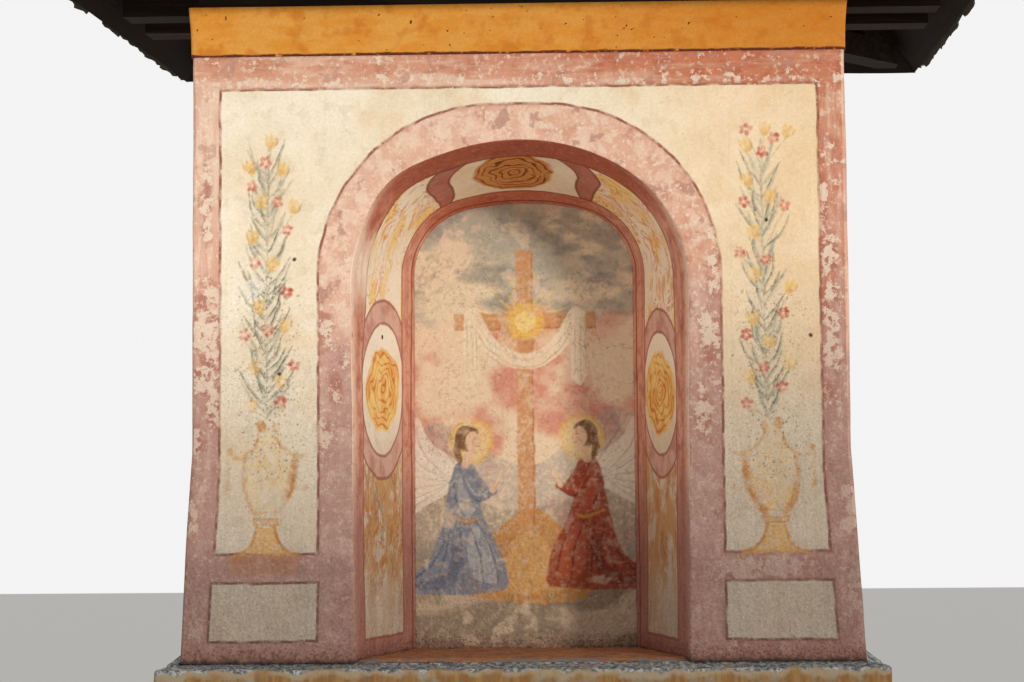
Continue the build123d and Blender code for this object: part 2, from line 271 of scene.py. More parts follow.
class Value:
    """A number or colour that a shader works out at each point; arithmetic with it adds nodes."""

    def __init__(self, shader, socket):
        self.shader = shader
        self.socket = socket

    def __add__(self, other):
        return self.shader.math("ADD", self, other)

    def __radd__(self, other):
        return self.shader.math("ADD", other, self)

    def __sub__(self, other):
        return self.shader.math("SUBTRACT", self, other)

    def __rsub__(self, other):
        return self.shader.math("SUBTRACT", other, self)

    def __mul__(self, other):
        return self.shader.math("MULTIPLY", self, other)

    def __rmul__(self, other):
        return self.shader.math("MULTIPLY", other, self)

    def __truediv__(self, other):
        return self.shader.math("DIVIDE", self, other)

    def __abs__(self):
        return self.shader.math("ABSOLUTE", self)

    def __gt__(self, other):
        return self.shader.math("GREATER_THAN", self, other)


class Shader:
    """A material written as expressions: each method adds nodes and gives what they work out."""

    def __init__(self, name):
        self.material = bpy.data.materials.new(name)
        self.material.use_nodes = True
        self.tree = self.material.node_tree
        self.surface = self.tree.nodes["Principled BSDF"]
        self.position = self.value("ShaderNodeTexCoord", output="Object")
        self.x, self.y, self.z = self.parts(self.position)

    def node(self, kind, *inputs, **settings):
        node = self.tree.nodes.new(kind)
        for name, value in settings.items():
            setattr(node, name, value)
        for socket, value in zip(node.inputs, inputs):
            self.connect(socket, value)
        return node

    def connect(self, socket, value):
        if isinstance(value, Value):
            self.tree.links.new(value.socket, socket)
        elif value is not None:
            socket.default_value = value

    def value(self, kind, *inputs, output=0, **settings):
        return Value(self, self.node(kind, *inputs, **settings).outputs[output])

    def parts(self, vector):
        return [Value(self, socket) for socket in self.node("ShaderNodeSeparateXYZ", vector).outputs]

    def math(self, operation, *values):
        return self.value("ShaderNodeMath", *values, operation=operation)

    def larger(self, *values):
        return functools.reduce(functools.partial(self.math, "MAXIMUM"), values)

    def smaller(self, *values):
        return functools.reduce(functools.partial(self.math, "MINIMUM"), values)

    def ramp(self, value, low, high, start=0.0, end=1.0):
        """Start at low, end at high, with an easy slope between; low may be the larger."""
        if low > high:
            low, high, start, end = high, low, end, start
        easy = {"interpolation_type": "SMOOTHSTEP"}
        return self.value("ShaderNodeMapRange", value, low, high, start, end, **easy)

    def mix(self, factor, a, b, blend="MIX"):
        node = self.node("ShaderNodeMix", data_type="RGBA", blend_type=blend)
        for socket, value in zip((node.inputs[0], node.inputs[6], node.inputs[7]), (factor, a, b)):
            self.connect(socket, value)
        return Value(self, node.outputs[2])

    def toned(self, colour, tone):
        """A colour made lighter or darker by a tone."""
        return self.mix(1.0, colour, self.value("ShaderNodeCombineColor", tone, tone, tone), "MULTIPLY")

    def field(self, name, output="Fac"):
        """A number, or a colour, that is laid on a piece's points."""
        return self.value("ShaderNodeAttribute", output=output, attribute_name=name)

    def sideways(self, limit=0.7):
        """1 where the surface faces left or right, 0 where it faces another way."""
        normal = self.value("ShaderNodeNewGeometry", output="True Normal")
        return abs(self.parts(normal)[0]) > limit

    def stretched(self, x=1.0, y=1.0, z=1.0, position=None):
        """The position with each axis scaled, for streaks."""
        position = position or self.position
        return self.value("ShaderNodeVectorMath", position, (x, y, z), operation="MULTIPLY")

    def texture(self, kind, output, position=None, **numbers):
        node = self.node(kind)
        self.connect(node.inputs["Vector"], position or self.position)
        for name, number in numbers.items():
            node.inputs[name].default_value = number
        return Value(self, node.outputs[output])

    def noise(self, size, detail=2.0, roughness=0.5, position=None, distortion=0.0):
        """Noise from about 0.2 to 0.8, with features of that size in metres."""
        numbers = {"Scale": 1 / size, "Detail": detail, "Roughness": roughness, "Distortion": distortion}
        return self.texture("ShaderNodeTexNoise", 0, position, **numbers)

    def cells(self, size):
        return self.texture("ShaderNodeTexVoronoi", "Distance", Scale=1 / size)

    def bump(self, *layers):
        """One bump from layers of height, each with its depth in metres."""
        first, *others = [height * depth for height, depth in layers]
        node = self.node("ShaderNodeBump")
        node.inputs["Distance"].default_value = 1.0
        self.connect(node.inputs["Height"], sum(others, first))
        return Value(self, node.outputs[0])

    def finish(self, colour, roughness=0.9, normal=None):
        self.connect(self.surface.inputs["Base Color"], colour)
        self.surface.inputs["Roughness"].default_value = roughness
        self.surface.inputs["Specular IOR Level"].default_value = SHEEN
        self.connect(self.surface.inputs["Normal"], normal)
        return self.material


# Paints and plasters

CREAM = srgb(245, 226, 194)
CREAM_LIGHT = srgb(250, 236, 210)
CREAM_STAIN = srgb(228, 202, 160)
CREAM_GREY = srgb(209, 189, 168)
WORN = srgb(242, 220, 194)
ROSE = srgb(232, 188, 162)
ROSE_RED = srgb(206, 128, 94)
BRICK = srgb(182, 96, 66)
ROSE_PALE = srgb(243, 210, 184)
MAUVE = srgb(190, 146, 134)
MAUVE_PALE = srgb(206, 166, 150)
MAUVE_SPOT = srgb(184, 136, 120)
OUTLINE = srgb(150, 84, 68)
DARK_BROWN = srgb(52, 40, 34)
SPECK = srgb(134, 114, 96)
OCHRE = srgb(226, 148, 54)
OCHRE_DEEP = srgb(204, 116, 32)
OCHRE_PALE = srgb(230, 162, 74)
RED_BROWN = srgb(198, 104, 74)
RED_PALE = srgb(232, 180, 152)
DARK_LINE = srgb(128, 66, 52)
PAINTED_HOLE_SHADE = srgb(40, 28, 22)


class Plaster(Shader):
    """Lime plaster under worn paint: smoother high up, roughcast and grimy towards the ledge, and darker
    there partly as painted shade.
    """

    def __init__(self, name, foot=LEDGE_TOP, rise=0.92, foot_tone=0.62, dirt=1.0, splash=1.0, lean=0.0):
        super().__init__(name)
        self.foot = foot
        self.foot_tone = foot_tone
        self.dirt = dirt
        self.splash = splash
        level = self.z - self.ramp(self.x, -0.25, 0.65, 0.0, lean)
        self.height = self.ramp(level, foot, foot + rise)
        # Paints that turn darker, greyer and more mauve with lowness stand partly for damp and dirt, partly
        # for painted shade low on the walls.
        self.lowness = 1.0 - self.height
        self.broad = self.noise(0.20, 3.0)
        self.middle = self.noise(0.045, 3.0)
        self.fine = self.noise(0.011, 3.0, 0.6)
        self.grain = self.noise(0.0042, 2.0, 0.6)
        self.streaks = self.noise(0.016, 3.0, 0.6, self.stretched(1.0, 1.0, 0.14))
        self.level_streaks = self.noise(0.016, 3.0, 0.6, self.stretched(0.14, 0.14, 1.0))
        self.dabs = self.noise(0.030, 4.0, 0.6)
        self.wander = (self.middle - 0.5) * 0.007

    def ground(self):
        """Cream limewash, scraped here and there, mottled grey and yellow lower down."""
        colour = self.mix(self.ramp(self.broad, 0.38, 0.62), CREAM, CREAM_LIGHT)
        colour = self.mix(self.ramp(self.streaks, 0.52, 0.8, 0.0, 0.3), colour, CREAM_STAIN)
        scraped = self.noise(0.040, 5.0, 0.66)
        strength = 0.28 + self.lowness * 0.44
        colour = self.mix(self.ramp(scraped, 0.46, 0.40) * strength, colour, srgb(214, 196, 166))
        colour = self.mix(self.ramp(scraped, 0.54, 0.59) * strength, colour, srgb(252, 236, 214))
        warm = self.ramp(self.noise(0.11, 3.0) + self.lowness * 0.10, 0.56, 0.68, 0.0, 0.30)
        colour = self.mix(warm, colour, srgb(236, 196, 150))
        # Yellower towards the right, most of all high up.
        yellower_to_the_right = self.ramp(self.x, 0.0, 0.66, 0.0, 0.48) * self.ramp(self.lowness, 0.35, 0.85, 1.0, 0.3)
        colour = self.mix(yellower_to_the_right, colour, srgb(244, 196, 132))
        # Greyer towards the foot: partly damp and dirt, partly painted shade.
        return self.mix(self.lowness * 0.80, colour, CREAM_GREY)

    def pink(self, redness=0.3, dabbed=0.0):
        """The frames' paint: rose above, mauve below, where the mauve is partly painted shade, redder where
        thick, brushed along the frames.
        """
        on_top = self.z > FRAME_TOP
        upright = self.streaks * (1.0 - on_top)
        brushed = upright + self.level_streaks * on_top
        dabbed = self.larger(self.ramp(self.lowness, 0.45, 0.85), dabbed)
        brushed = brushed * (1.0 - dabbed) + self.dabs * dabbed
        colour = self.mix(redness, ROSE, ROSE_RED)
        thick = self.ramp(self.middle + brushed * 0.5 + redness * 0.10, 0.76, 0.94)
        strength = 0.10 + dabbed * 0.20 + redness * 0.55
        colour = self.mix(thick * strength, colour, BRICK)
        pale = self.ramp(brushed - redness * 0.08, 0.40, 0.58, 0.0, 0.85)
        colour = self.mix(pale * (1.0 - redness * 0.7), colour, ROSE_PALE)
        spots = self.ramp(self.noise(0.050, 3.0, 0.55), 0.585, 0.635)
        colour = self.mix(spots * (0.50 + dabbed * 0.20), colour, MAUVE_SPOT)
        # Mauve and darker towards the foot: partly damp, partly painted shade.
        violet = self.ramp(self.lowness + self.broad * 0.8, 0.44, 0.80)
        mauve = self.mix(self.ramp(brushed, 0.44, 0.66, 0.0, 0.7), MAUVE, MAUVE_PALE)
        mauve = self.mix(self.ramp(self.middle, 0.54, 0.70, 0.0, 0.6), mauve, srgb(166, 108, 92))
        return self.mix(violet * 0.88, colour, mauve)

    def worn(self, colour, zone=0.0):
        """Paint rubbed off in flakes and scratches, down to the pale plaster under it."""
        flake = self.noise(0.018, 5.0, 0.70) * 0.62 + self.middle * 0.38
        gone = self.ramp(flake + zone * 0.115, 0.58, 0.62, 0.0, 0.85)
        scuffed = self.larger(self.streaks, self.dabs) * 0.5
        thin = self.ramp(self.fine + scuffed, 0.82, 0.96, 0.0, 0.55)
        # The bare plaster is darker towards the foot, partly as painted shade.
        under = self.mix(self.lowness * 0.9, WORN, srgb(216, 180, 162))
        return self.mix(self.larger(gone, thin), colour, under)

    def inside(self, distance, blur=0.0020):
        """1 where distance is below zero, with an uneven, brushed edge."""
        ragged = (self.fine - 0.5) * 0.003
        return self.ramp(distance + self.wander + ragged, blur, -blur)

    def corner_wear(self, colour, distance):
        """Dark specks along an outer edge, where distance comes near zero."""
        near = self.ramp(distance, -0.010, -0.003)
        specks = self.ramp(self.fine + self.middle * 0.6, 0.80, 0.90)
        return self.mix(near * specks * 0.8, colour, SPECK)

    def line(self, distance, width, gaps=0.42):
        """A painted line of that width along distance zero, broken by wear."""
        core = self.ramp(abs(distance + self.wander), width * 0.75, width * 0.25)
        return core * self.ramp(self.fine, gaps - 0.08, gaps + 0.06)

    def dirt_and_painted_shade(self, colour):
        """Dirt, specks, the dark line at the foot and a darkening towards the foot that is partly painted
        shade, over every paint.
        """
        # Darker towards the foot: partly soiling and splash, partly painted shade low on the wall.
        tone = self.ramp(self.height, 0.0, 1.0, self.foot_tone, 1.0)
        tone = tone * self.ramp(self.z, self.foot + 0.27, self.foot + 0.18, 1.0, self.splash)
        tone = tone + (self.broad - 0.5) * 0.14
        grit = 0.26 + self.lowness * 0.12
        tone = tone + (self.grain - 0.5) * grit
        tone = tone + (self.streaks - 0.5) * self.lowness * 0.22
        tone = tone + (self.noise(0.0075, 3.0, 0.6) - 0.5) * 0.22
        colour = self.toned(colour, tone)
        # Dark specks in the pitted roughcast: dirt, and painted shade in the pits. dirt sets their strength,
        # shade included.
        zone = self.ramp(self.z, self.foot + 0.95, self.foot + 0.60) * self.ramp(self.broad, 0.34, 0.54)
        spots = self.ramp(self.noise(0.0032, 2.5, 0.6) + zone * 0.06, 0.61, 0.70)
        strength = (0.06 + zone * 0.40) * self.dirt
        colour = self.mix(spots * strength, colour, SPECK)
        above_foot = self.z - self.foot
        damp = above_foot + (self.middle - 0.5) * 0.06
        colour = self.mix(self.ramp(damp, 0.045, 0.008, 0.0, 0.35), colour, srgb(120, 66, 52))
        spatter = self.noise(0.0055, 3.0, 0.62) + self.ramp(above_foot, 0.060, 0.0, 0.0, 0.14)
        spatter = self.ramp(spatter, 0.60, 0.68, 0.0, 0.60) * self.ramp(above_foot, 0.085, 0.045)
        colour = self.mix(spatter, colour, srgb(78, 52, 44))
        ragged = (self.dabs - 0.5) * 0.024
        uneven = above_foot + ragged + (self.fine - 0.5) * 0.030
        return self.mix(self.ramp(uneven, 0.014, -0.002, 0.0, 0.80), colour, DARK_BROWN)

    def relief(self):
        coarse = 0.0003 + self.lowness * 0.0017
        trowel = self.noise(0.10, 4.0, 0.6)
        stones = self.cells(0.009)
        return self.bump((trowel, 0.004), (self.fine, 0.0010), (self.grain, coarse), (stones, coarse))

    def done(self, colour, roughness=0.92):
        return self.finish(self.dirt_and_painted_shade(colour), roughness, self.relief())


def shader_flare(s):
    """How far the walls stand out at their foot."""
    return s.ramp(s.z, FLARE_TOP, LEDGE_TOP) * FLARE


def panel_field(s, half_width, across):
    """How far a point lies outside the cream panels of a face, whose middle is at across zero."""
    beside = abs(across) - (half_width - FRAME_WIDTH + shader_flare(s))
    above = s.z - FRAME_TOP
    low_panel = abs(s.z - LOW_PANEL_MIDDLE) - LOW_PANEL_HALF
    lower = s.smaller(PANEL_FOOT - s.z, low_panel)
    return s.larger(beside, above, lower)


def head_colour(s, field, redness=0.3, dabbed=0.0):
    """Worn pink outside the cream field, with the brown line between them."""
    flaked = s.ramp(s.z, FRAME_TOP + 0.038, FRAME_TOP + 0.014) * (s.z > FRAME_TOP) * 0.55
    zone = s.field("wear")
    pink = s.pink(redness, dabbed)
    between = zone * s.ramp(s.dabs, 0.40, 0.50) * s.ramp(s.lowness, 0.60, 0.90, 0.75, 0.20)
    pink = s.mix(between, pink, srgb(172, 104, 86))
    zone = s.larger(zone, flaked)
    colour = s.mix(s.inside(field), s.worn(pink, zone), s.ground())
    beside = s.ramp(field, 0.010, 0.003) * s.ramp(field, -0.002, 0.002)
    colour = s.mix(beside * s.ramp(s.fine, 0.60, 0.5) * (0.12 + redness * 0.35), colour, BRICK)
    kept = (1.0 - zone * 0.6) * s.ramp(s.dabs, 0.36, 0.58, 0.30, 0.95)
    tint = s.mix(s.lowness, OUTLINE, srgb(132, 88, 80))
    return s.mix(s.line(field, 0.0058, 0.33) * kept, colour, tint)


def face_material():
    """The face round the niche: pink frame and arch band, cream panels, and the painted bouquets."""
    s = Plaster("face_paint", splash=0.75, lean=0.15)
    band = s.field("band")
    field = s.larger(panel_field(s, HALF_WIDTH, s.x), band * -1.0)
    high = s.ramp(s.z, FRAME_TOP - 0.02, FRAME_TOP + 0.045, 0.0, 0.58)
    rightwards = s.ramp(s.x, -0.3, 0.66, 0.0, 0.74) * s.ramp(s.z, 2.00, 2.34, 0.76, 1.0)
    halfway = s.ramp(s.z, 1.72, 1.88) * s.ramp(s.z, 2.24, 2.12, 0.0, 0.28)
    redness = s.smaller(high + rightwards + halfway, 1.0)
    redness = redness * s.ramp(band, -0.004, 0.01, 0.50, 1.0)
    redness = s.larger(redness, s.ramp(band, 0.004, -0.004, 0.0, 0.14))
    colour = head_colour(s, field, redness, s.ramp(band, 0.004, -0.004))
    run_off = s.ramp(abs(s.x + 0.545), 0.095, 0.055) * s.ramp(s.z, 1.452, 1.480)
    run_off = run_off * s.ramp(s.z, PANEL_FOOT, PANEL_FOOT - 0.006) * s.ramp(s.dabs, 0.36, 0.56, 0.3, 0.65)
    colour = s.mix(run_off, colour, srgb(188, 122, 78))
    paint, cover = s.field("paint", "Color"), s.field("cover")
    kept = s.ramp(s.fine + s.grain * 0.5, 0.84, 0.94, 1.0, 0.40)
    colour = s.mix(cover * kept, colour, srgb(0, 0, 0))
    colour = s.mix(kept, colour, s.mix(1.0, colour, paint, "ADD"))
    return s.done(s.corner_wear(colour, abs(s.x) - (HALF_WIDTH + shader_flare(s))))


def wall_material():
    """The other faces of the head, with the same pink frame round cream panels."""
    s = Plaster("wall_paint", splash=0.75)
    on_side = s.sideways()
    back = panel_field(s, HALF_WIDTH, s.x)
    side = panel_field(s, HALF_DEPTH, s.y)
    field = side * on_side + back * (1.0 - on_side)
    return s.done(head_colour(s, field))


# The reveal's paint is laid out by depth from the face and by distance along the arch from its crown

FIELD_MIDDLE = 0.195
FIELD_HALF = 0.116
MEDALLION_LEVEL = 1.863
RIGHT_MEDALLION_DROP = 0.010
CROWN_PANEL_SHIFT = 0.016
CROWN_PANEL_HALF = (0.1925, 0.143)
FIELD_FOOT = 1.321
JAMB_OVALS = ((0.197, 0.170), (0.146, 0.131))
CROWN_ROSETTE = (0.089, 0.108)
JAMB_ROSETTE = (0.091, 0.108)
HOLE_OVER_MEDALLION = 0.116
RING_SPACING = 0.0165


def oval(s, run, depth, centre, along, across):
    """How far a point lies outside an oval of the reveal, near enough for a line along its edge."""
    a = (run - centre) / along
    b = (depth - FIELD_MIDDLE) / across
    radius = s.math("SQRT", a * a + b * b)
    return (radius - 1.0) * min(along, across)


def swirl(s, colour, distance, strength):
    """An ochre rosette with thin red rings that wander, stronger where strength nears 1: deeper gold and
    darker rings, which at the crown are painted shade.
    """
    wander = s.noise(0.046, 1.2, 0.5, None, 0.3) - 0.5
    ring = s.math("SINE", distance * (2 * math.pi / RING_SPACING) + wander * 19.0)
    core = s.ramp(distance + wander * 0.03, 0.003, -0.007)
    gold = s.mix(s.ramp(s.middle, 0.38, 0.62), srgb(250, 212, 124), srgb(240, 176, 88))
    gold = s.mix(strength * 0.80, gold, srgb(196, 118, 42))
    colour = s.mix(core * s.ramp(s.fine, 0.3, 0.5, 0.75, 0.95), colour, gold)
    broken = s.ramp(s.middle, 0.36, 0.56, 0.35, 0.9)
    red = s.mix(strength, srgb(210, 124, 62), srgb(126, 54, 26))
    return s.mix(core * s.ramp(ring, 0.25, 0.95) * broken, colour, red)


def marbling(s, colour):
    """Yellow and red flames over the cream of the long fields, browner on the lower ones."""
    place_at = s.stretched(1.0, 1.0, 0.6)
    lower = s.ramp(s.z, 1.78, 1.68)
    faded = s.ramp(s.z, 1.36, 1.52, 0.25, 1.0)
    yellow = s.ramp(s.noise(0.085, 3.0, 0.6, place_at, 1.0) + lower * 0.06, 0.46, 0.58)
    gold = s.mix(lower, srgb(250, 214, 130), srgb(216, 160, 96))
    colour = s.mix(yellow * faded * 0.85, colour, gold)
    flame = s.noise(0.075, 4.0, 0.62, place_at, 1.6)
    vein = s.ramp(abs(flame - 0.5), 0.040, 0.002)
    red = s.mix(lower, srgb(222, 132, 72), srgb(190, 104, 58))
    colour = s.mix(vein * s.ramp(s.broad, 0.38, 0.55) * faded * 0.75, colour, red)
    patch = s.ramp(flame + lower * 0.03, 0.58, 0.68, 0.0, 0.75)
    colour = s.mix(patch * faded, colour, s.mix(lower, srgb(236, 168, 92), srgb(204, 124, 66)))
    smear = s.ramp(s.noise(0.060, 3.0, 0.6, place_at, 0.8), 0.55, 0.68) * lower * faded
    colour = s.mix(smear * 0.6, colour, srgb(160, 140, 106))
    bare = s.ramp(s.middle, 0.57, 0.68) * lower
    return s.mix(bare * 0.6, colour, srgb(232, 216, 192))


def band_colour(s, depth, run, on_right):
    """The red-brown of the bands, thick high up and pale lower down, and where it has come away; greyer near
    the foot, partly as painted shade, and darkened by painted shade on the front band at the crown.
    """
    level = s.z + (s.broad - 0.5) * 0.35
    thick = s.ramp(level, 2.18, 2.34, 0.12, 0.95) * s.ramp(s.streaks, 0.3, 0.5, 0.7, 1.0)
    lip = s.ramp(depth, 0.034, 0.008) * s.ramp(s.z, 2.36, 2.16)
    pale = s.mix(s.ramp(s.streaks, 0.40, 0.60), srgb(212, 150, 128), RED_PALE)
    stripe = s.ramp(abs(depth - 0.045), 0.012, 0.004)
    pale = s.mix(stripe * s.ramp(s.middle, 0.4, 0.55) * 0.6, pale, srgb(194, 112, 88))
    red = s.mix(thick * (1.0 - lip * 0.8), pale, RED_BROWN)
    red = s.mix(s.ramp(s.streaks, 0.50, 0.70, 0.0, 0.45), red, srgb(222, 150, 122))
    red = s.mix(s.ramp(s.middle, 0.56, 0.68, 0.0, 0.40), red, srgb(158, 80, 60))
    red = s.mix(s.ramp(s.dabs, 0.52, 0.62, 0.0, 0.45), red, srgb(182, 98, 76))
    red = s.mix(lip * s.ramp(s.dabs, 0.36, 0.52, 0.35, 0.80), red, ROSE_PALE)
    scratched = s.noise(0.009, 4.0, 0.7, s.stretched(1.0, 1.0, 0.45))
    red = s.mix(s.ramp(scratched, 0.56, 0.66, 0.0, 0.55), red, srgb(226, 170, 144))
    red = s.mix(s.ramp(scratched, 0.42, 0.34, 0.0, 0.40), red, srgb(134, 66, 50))
    # Greyer towards the foot, partly painted shade.
    red = s.mix(s.ramp(s.lowness, 0.25, 0.8) * 0.7, red, srgb(182, 124, 110))
    on_front = s.ramp(depth, 0.12, 0.09)
    bare = s.ramp(level, 2.23, 2.15) * s.ramp(level, 2.02, 2.10) * (1.0 - on_right) * on_front
    red = s.mix(bare * s.ramp(s.streaks, 0.42, 0.58, 0.95, 0.60), red, srgb(255, 234, 208))
    # Painted shade over the front band near the crown.
    shaded = s.ramp(run, 0.34, 0.20, 0.0, 0.30) * on_front
    return s.mix(shaded, red, srgb(110, 52, 36)), bare


def crescent_colour(s, on_jamb):
    """The rose between an ornament's two outlines, browner at the crown."""
    crescent = s.mix(s.ramp(s.middle, 0.4, 0.65), srgb(226, 182, 162), srgb(204, 146, 126))
    crescent = s.mix((1.0 - on_jamb) * 0.75, crescent, srgb(172, 96, 74))
    return s.mix(s.ramp(s.fine, 0.60, 0.74, 0.0, 0.4), crescent, WORN)


def long_field(s, depth, run, foot):
    """How far a point lies outside the cream field between the bands, which ends at the foot."""
    on_right = s.x > 0.0
    moved_up = s.ramp(run, 0.40, 0.66) * (0.035 - on_right * 0.023)
    front_line = FIELD_MIDDLE - FIELD_HALF + 0.018 - moved_up
    beside = s.larger(front_line - depth, depth - (FIELD_MIDDLE + FIELD_HALF))
    return s.larger(beside, run - foot)


def ornament_outlines(s, depth, aside, run, medallion):
    """How far a point lies outside the ornaments' outer outlines, their inner ones and the rosettes."""
    on_right = s.x > 0.0
    part = (depth - FIELD_MIDDLE) / FIELD_HALF
    front_part, back_part = s.larger(part * -1.0, 0.0), s.larger(part, 0.0)
    front_square, back_square = front_part * front_part, back_part * back_part
    from_crown = abs(run * (on_right * 2.0 - 1.0) + CROWN_PANEL_SHIFT)
    shorter = on_right * RIGHT_MEDALLION_DROP
    dropped = run - shorter
    jamb_outer, jamb_inner = (oval(s, dropped, aside, medallion, *radii) for radii in JAMB_OVALS)
    crown_outer = from_crown + front_square * 0.068 - back_square * 0.013
    crown_inner = from_crown + front_square * 0.078 - back_square * 0.035
    outer = s.smaller(crown_outer - CROWN_PANEL_HALF[0], jamb_outer + shorter)
    inner = s.smaller(crown_inner - CROWN_PANEL_HALF[1], jamb_inner + shorter * 0.9)
    crown_rosette = oval(s, from_crown, depth, 0.0, *CROWN_ROSETTE)
    return outer, inner, s.smaller(crown_rosette, oval(s, dropped, aside, medallion, *JAMB_ROSETTE))


def reveal_material(run_at):
    """The splayed inside of the niche: red-brown bands in front and behind, ornaments between them."""
    s = Plaster("reveal_paint", rise=0.75, foot_tone=0.62, dirt=0.06)
    depth, run = s.field("depth"), s.field("run")
    on_right = s.x > 0.0
    on_jamb = s.ramp(run, 0.15, 0.45)
    aside = depth + (0.008 - on_right * 0.011)
    medallion = run_at(MEDALLION_LEVEL)
    field = long_field(s, depth, run, run_at(FIELD_FOOT))
    outer, inner, rosettes = ornament_outlines(s, depth, aside, run, medallion)
    bright = s.mix(s.ramp(s.z, 1.75, 2.05, 0.2, 0.65) * on_jamb, s.ground(), srgb(255, 244, 222))
    colour = s.mix(s.inside(outer), marbling(s, bright), crescent_colour(s, on_jamb))
    colour = s.mix(s.inside(inner), colour, bright)
    # The crown's rosette gets the deeper gold and darker rings: painted shade at the crown.
    colour = swirl(s, colour, rosettes, 1.0 - on_jamb)
    tint = s.mix(on_jamb, DARK_LINE, srgb(166, 100, 84))
    lines = s.larger(s.line(outer, 0.006, 0.3), s.line(inner, 0.006, 0.3))
    colour = s.mix(lines * 0.8, colour, tint)
    up_from_hole = run - (medallion - HOLE_OVER_MEDALLION)
    beside_hole = aside - FIELD_MIDDLE
    square = up_from_hole * up_from_hole + beside_hole * beside_hole
    # A nail hole in the left jamb, painted as a dark dab for the shade inside it.
    hole = s.ramp(s.math("SQRT", square), 0.0065, 0.0040) * (1.0 - on_right)
    colour = s.mix(hole, colour, PAINTED_HOLE_SHADE)
    red, bare = band_colour(s, depth, run, on_right)
    colour = s.mix(s.inside(field), red, colour)
    colour = s.mix(s.line(field, 0.006, 0.3) * (0.85 - bare * 0.55), colour, tint)
    corner = s.line(depth - (NICHE_DEPTH - 0.016), 0.009, 0.3)
    return s.done(s.mix(corner * 0.8, colour, srgb(142, 66, 50)))


# The head

HEAD_COUNTS = (78, 42, 60)
REVEAL_ROWS = 40
ROUNDING_ROWS = 5
FACE_ROWS = 35
EDGE_ROUNDING = 0.007
CORNER_ROUNDING = 0.009
FULLER_BY = 0.0125
FULLER_AT = 0.285
FULLER_REACH = 0.090
CORNER_STEPS = 4
SIDE_COUNTS = (62, 100)


def arch_measures(arch):
    """The shoulder centre's X, the spring level, the crown centre's level and the arcs' meeting angle."""
    half_width, crown, crown_radius, shoulder_radius = arch
    shoulder_x = half_width - shoulder_radius
    centre_z = crown - crown_radius
    spring = centre_z + math.sqrt((crown_radius - shoulder_radius) ** 2 - shoulder_x**2)
    return shoulder_x, spring, centre_z, math.atan2(spring - centre_z, shoulder_x)


def arch_points(arch, foot_half_width, counts):
    """Points round an arch outline from the left foot to the right foot, in X and Z."""
    half_width, crown, crown_radius, shoulder_radius = arch
    shoulder_x, spring, centre_z, turn = arch_measures(arch)
    jamb, shoulder, top = counts
    t = np.linspace(0, 1, jamb, endpoint=False)
    x = foot_half_width + (half_width - foot_half_width) * t
    left_jamb = np.stack([-x, LEDGE_TOP + (spring - LEDGE_TOP) * t], 1)
    angle = np.linspace(0, turn, shoulder, endpoint=False)
    x = shoulder_x + shoulder_radius * np.cos(angle)
    left_shoulder = np.stack([-x, spring + shoulder_radius * np.sin(angle)], 1)
    angle = np.linspace(turn, math.pi / 2, top, endpoint=False)
    left_top = np.stack([-crown_radius * np.cos(angle), centre_z + crown_radius * np.sin(angle)], 1)
    left = np.concatenate([left_jamb, left_shoulder, left_top])
    return np.concatenate([left, [[0.0, crown]], left[::-1] * [-1, 1]])


def arch_distance(x, z, arch):
    """How far points lie outside an arch outline on upright jambs."""
    half_width, _, crown_radius, shoulder_radius = arch
    shoulder_x, spring, centre_z, turn = arch_measures(arch)
    x = np.abs(x)
    on_crown = np.hypot(x, z - centre_z) - crown_radius
    on_shoulder = np.hypot(x - shoulder_x, z - spring) - shoulder_radius
    on_arch = np.where(np.arctan2(z - centre_z, x) > turn, on_crown, on_shoulder)
    return np.where(z < spring, x - half_width, on_arch)


def flare_at(z):
    return FLARE * np.clip((FLARE_TOP - z) / (FLARE_TOP - LEDGE_TOP), 0, 1)


def outer_points(counts):
    """The points of the face's outer outline that answer to those of the mouth."""
    jamb, shoulder, top = counts
    corner = HALF_WIDTH - CORNER_ROUNDING
    z_jamb = np.linspace(LEDGE_TOP, SPRING, jamb, endpoint=False)
    z_shoulder = np.linspace(SPRING, HEAD_TOP, shoulder, endpoint=False)
    z = np.concatenate([z_jamb, z_shoulder, np.full(top, HEAD_TOP)])
    x = np.concatenate([np.full(jamb + shoulder, -corner), np.linspace(-corner, 0, top, endpoint=False)])
    x[: jamb + shoulder] -= flare_at(z[: jamb + shoulder])
    left = np.stack([x, z], 1)
    return np.concatenate([left, [[0.0, HEAD_TOP]], left[::-1] * [-1, 1]])


def running_length(points):
    """Distance along an outline from its middle point."""
    steps = np.linalg.norm(np.diff(points, axis=0), axis=1)
    length = np.concatenate([[0], np.cumsum(steps)])
    return np.abs(length - length[len(length) // 2])


def lift(points, y):
    """Points in X and Z with a depth added."""
    return np.stack([points[:, 0], np.broadcast_to(y, len(points)), points[:, 1]], 1)


def plan_path(half_x, half_y, radius, counts, closed=True):
    """Points round a plan with rounded corners, from the front left by the left, back and right sides."""
    points = []
    signs = [(-1, -1), (-1, 1), (1, 1), (1, -1)]
    centres = [np.array([sx * (half_x - radius), sy * (half_y - radius)]) for sx, sy in signs]
    for number, centre in enumerate(centres):
        first = math.radians(270 - 90 * number)
        angles = np.linspace(first, first - math.pi / 2, CORNER_STEPS + 1)
        arc = centre + radius * np.stack([np.cos(angles), np.sin(angles)], 1)
        points.extend(arc)
        if number == 3 and not closed:
            break
        following = centres[(number + 1) % 4] - centre
        count = counts[number % 2]
        points.extend(arc[-1] + following * (step / count) for step in range(1, count))
    if closed:
        points.append(points[0])
    return np.array(points)


def mouth_points():
    """The niche's mouth, whose left shoulder was plastered a little fuller than the right."""
    points = arch_points(MOUTH_ARCH, MOUTH_FOOT_HALF_WIDTH, HEAD_COUNTS)
    run = running_length(points)
    way = np.gradient(points, axis=0)
    outward = unit(np.stack([-way[:, 1], way[:, 0]], 1))
    fuller = FULLER_BY * np.exp(-(((run - FULLER_AT) / FULLER_REACH) ** 2)) * (points[:, 0] < 0)
    return points + outward * fuller[:, None]


